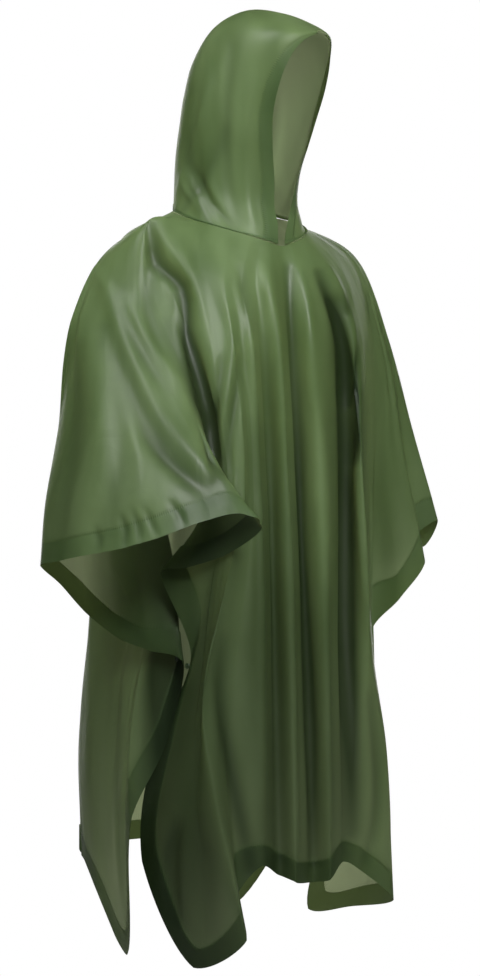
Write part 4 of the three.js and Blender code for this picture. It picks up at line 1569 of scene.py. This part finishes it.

# Creases that run beside a fold: shift, first and last row, drift, half width, depth, pull and the weight of
# painted shade. The last ten are mostly painted shade, with a dent of 1 to 2 mm.
RUNNING_CREASES = [
    RunningCrease("front of cuff", 0.5, 5, 14, 0.4, 0.30, 4, Pull.TROUGH),
    RunningCrease("between flutes", 0.4, 4, 12, 0.2, 0.25, 3, Pull.RIDGE),
    RunningCrease("top of sleeve", 0.5, 3, 12, -0.3, 0.30, 4, Pull.TROUGH),
    RunningCrease("back of cuff", 0.5, 5, 15, 0.5, 0.30, 4, Pull.RIDGE),
    RunningCrease("under the cuff", 0.5, 8, 16, -0.3, 0.30, 4, Pull.TROUGH),
    RunningCrease("flap, left back", 0.5, 8, 16, 0.3, 0.25, 4, Pull.RIDGE),
    RunningCrease("back left corner", 0.5, 4, 14, -0.4, 0.30, 5, Pull.TROUGH),
    RunningCrease("left back ridge", 0.4, 3, 14, -0.5, 0.30, 5, Pull.TROUGH),
    RunningCrease("left back valley", 0.3, 4, 16, 0.3, 0.25, 4, Pull.RIDGE),
    RunningCrease("back ridge", 0.5, 2, 12, 0.4, 0.28, 5, Pull.TROUGH),
    RunningCrease("back ridge", -0.3, 6, 16, -0.4, 0.20, 4, Pull.RIDGE),
    RunningCrease("back middle valley", 0.45, 3, 15, 0.6, 0.30, 6, Pull.RIDGE),
    RunningCrease("right back ridge", 0.5, 4, 16, -0.3, 0.25, 5, Pull.TROUGH),
    RunningCrease("right back valley", 0.5, 2, 11, 0.5, 0.30, 5, Pull.RIDGE),
    RunningCrease("right side ridge", 0.4, 5, 16, 0.2, 0.25, 4, Pull.TROUGH),
    RunningCrease("right side", 0.5, 3, 13, -0.4, 0.25, 4, Pull.RIDGE),
    RunningCrease("side valley", 0.4, 6, 16, 0.4, 0.20, 4, Pull.TROUGH),
    RunningCrease("lip", 0.5, 5, 15, -0.4, 0.30, 3, Pull.RIDGE),
    RunningCrease("back of elbow", 0.5, 3, 12, 0.5, 0.30, 4, Pull.TROUGH),
    RunningCrease("tip of cuff", 0.5, 4, 13, 0.5, 0.30, 4, Pull.TROUGH),
    RunningCrease("inside the flute", 0.6, 8, 22, 0.0, 1.30, 1, Pull.TROUGH, 0.92),
    RunningCrease("back of lip", -0.5, 6, 17, 0.0, 0.55, 1, Pull.TROUGH, 0.40),
    RunningCrease("flap, back upper edge", 0.2, 10, 24, 0.0, 0.90, 1, Pull.TROUGH, 0.70),
    RunningCrease("right snap, front", 0.3, 10, 24, 0.8, 1.10, 1, Pull.TROUGH, 0.70),
    RunningCrease("left back valley", 1.3, 4, 22, -1.2, 0.80, 2, Pull.TROUGH, 0.80),
    RunningCrease("flap, lower edge", 0.6, 9, 27, 0.4, 1.50, 1, Pull.TROUGH, 0.86),
    RunningCrease("right snap, back", -0.2, 12, 23, -0.6, 0.90, 1, Pull.TROUGH, 0.72),
    RunningCrease("right side", 0.2, 9, 27, 0.0, 2.00, 1, Pull.TROUGH, 0.42),
    RunningCrease("second ridge", 0.5, 8, 26, 0.6, 2.60, 1, Pull.TROUGH, 0.72),
    RunningCrease("left of middle", 0.3, 11, 25, 0.0, 1.40, 1, Pull.TROUGH, 0.42),
]

# The hood from the neck seam to the brow: face edge, centre seam and half width of each section.
HOOD_SECTIONS = [
    HoodSection(102, 5, -36, -85, 22, 95),
    HoodSection(97, 8, -12, -90, 55, 88),
    HoodSection(87, 18, 20, -88, 95, 84),
    HoodSection(88, 27, 60, -80, 140, 85),
    HoodSection(96, 42, 104, -71, 185, 87),
    HoodSection(104, 52, 144, -56, 232, 86),
    HoodSection(115, 55, 179, -22, 276, 80),
    HoodSection(125, 52, 208, 30, 297, 72),
    HoodSection(134, 44, 230, 80, 290, 60),
    HoodSection(142, 34, 244, 113, 278, 45),
    HoodSection(147, 22, 252, 134, 268, 28),
    HoodSection(150, 8, 257, 147, 262, 10),
]

FILM = FilmFinish("poncho_film", deep=(0.032, 0.064, 0.020, 1.0), fresh=(0.112, 0.170, 0.072, 1.0),
                  glow=(0.46, 0.53, 0.29, 1.0))


def main() -> None:
    """Builds the poncho, its studio and its camera, in order."""
    logging.basicConfig(level=logging.INFO, format="%(name)s: %(message)s")
    PhotoCamera().build()
    film = FILM.material()
    snaps = SnapFinish().material()
    book = CreaseBook(FRONT_CREASES)
    sheet = FilmSheet(FRONT_FOLDS + LEFT_SLEEVE_FOLDS + BACK_FOLDS + RIGHT_SLEEVE_FOLDS)
    Poncho(sheet, book, RUNNING_CREASES).build(film)
    Hood(HoodForm(HOOD_SECTIONS), CreaseBook(HOOD_CREASES)).build(film)
    for node in ("right_snap_cap", "right_snap_socket", "left_snap_cap", "left_snap_socket"):
        Snap(node).build(snaps)
    Studio().build()


if __name__ == "__main__":
    main()
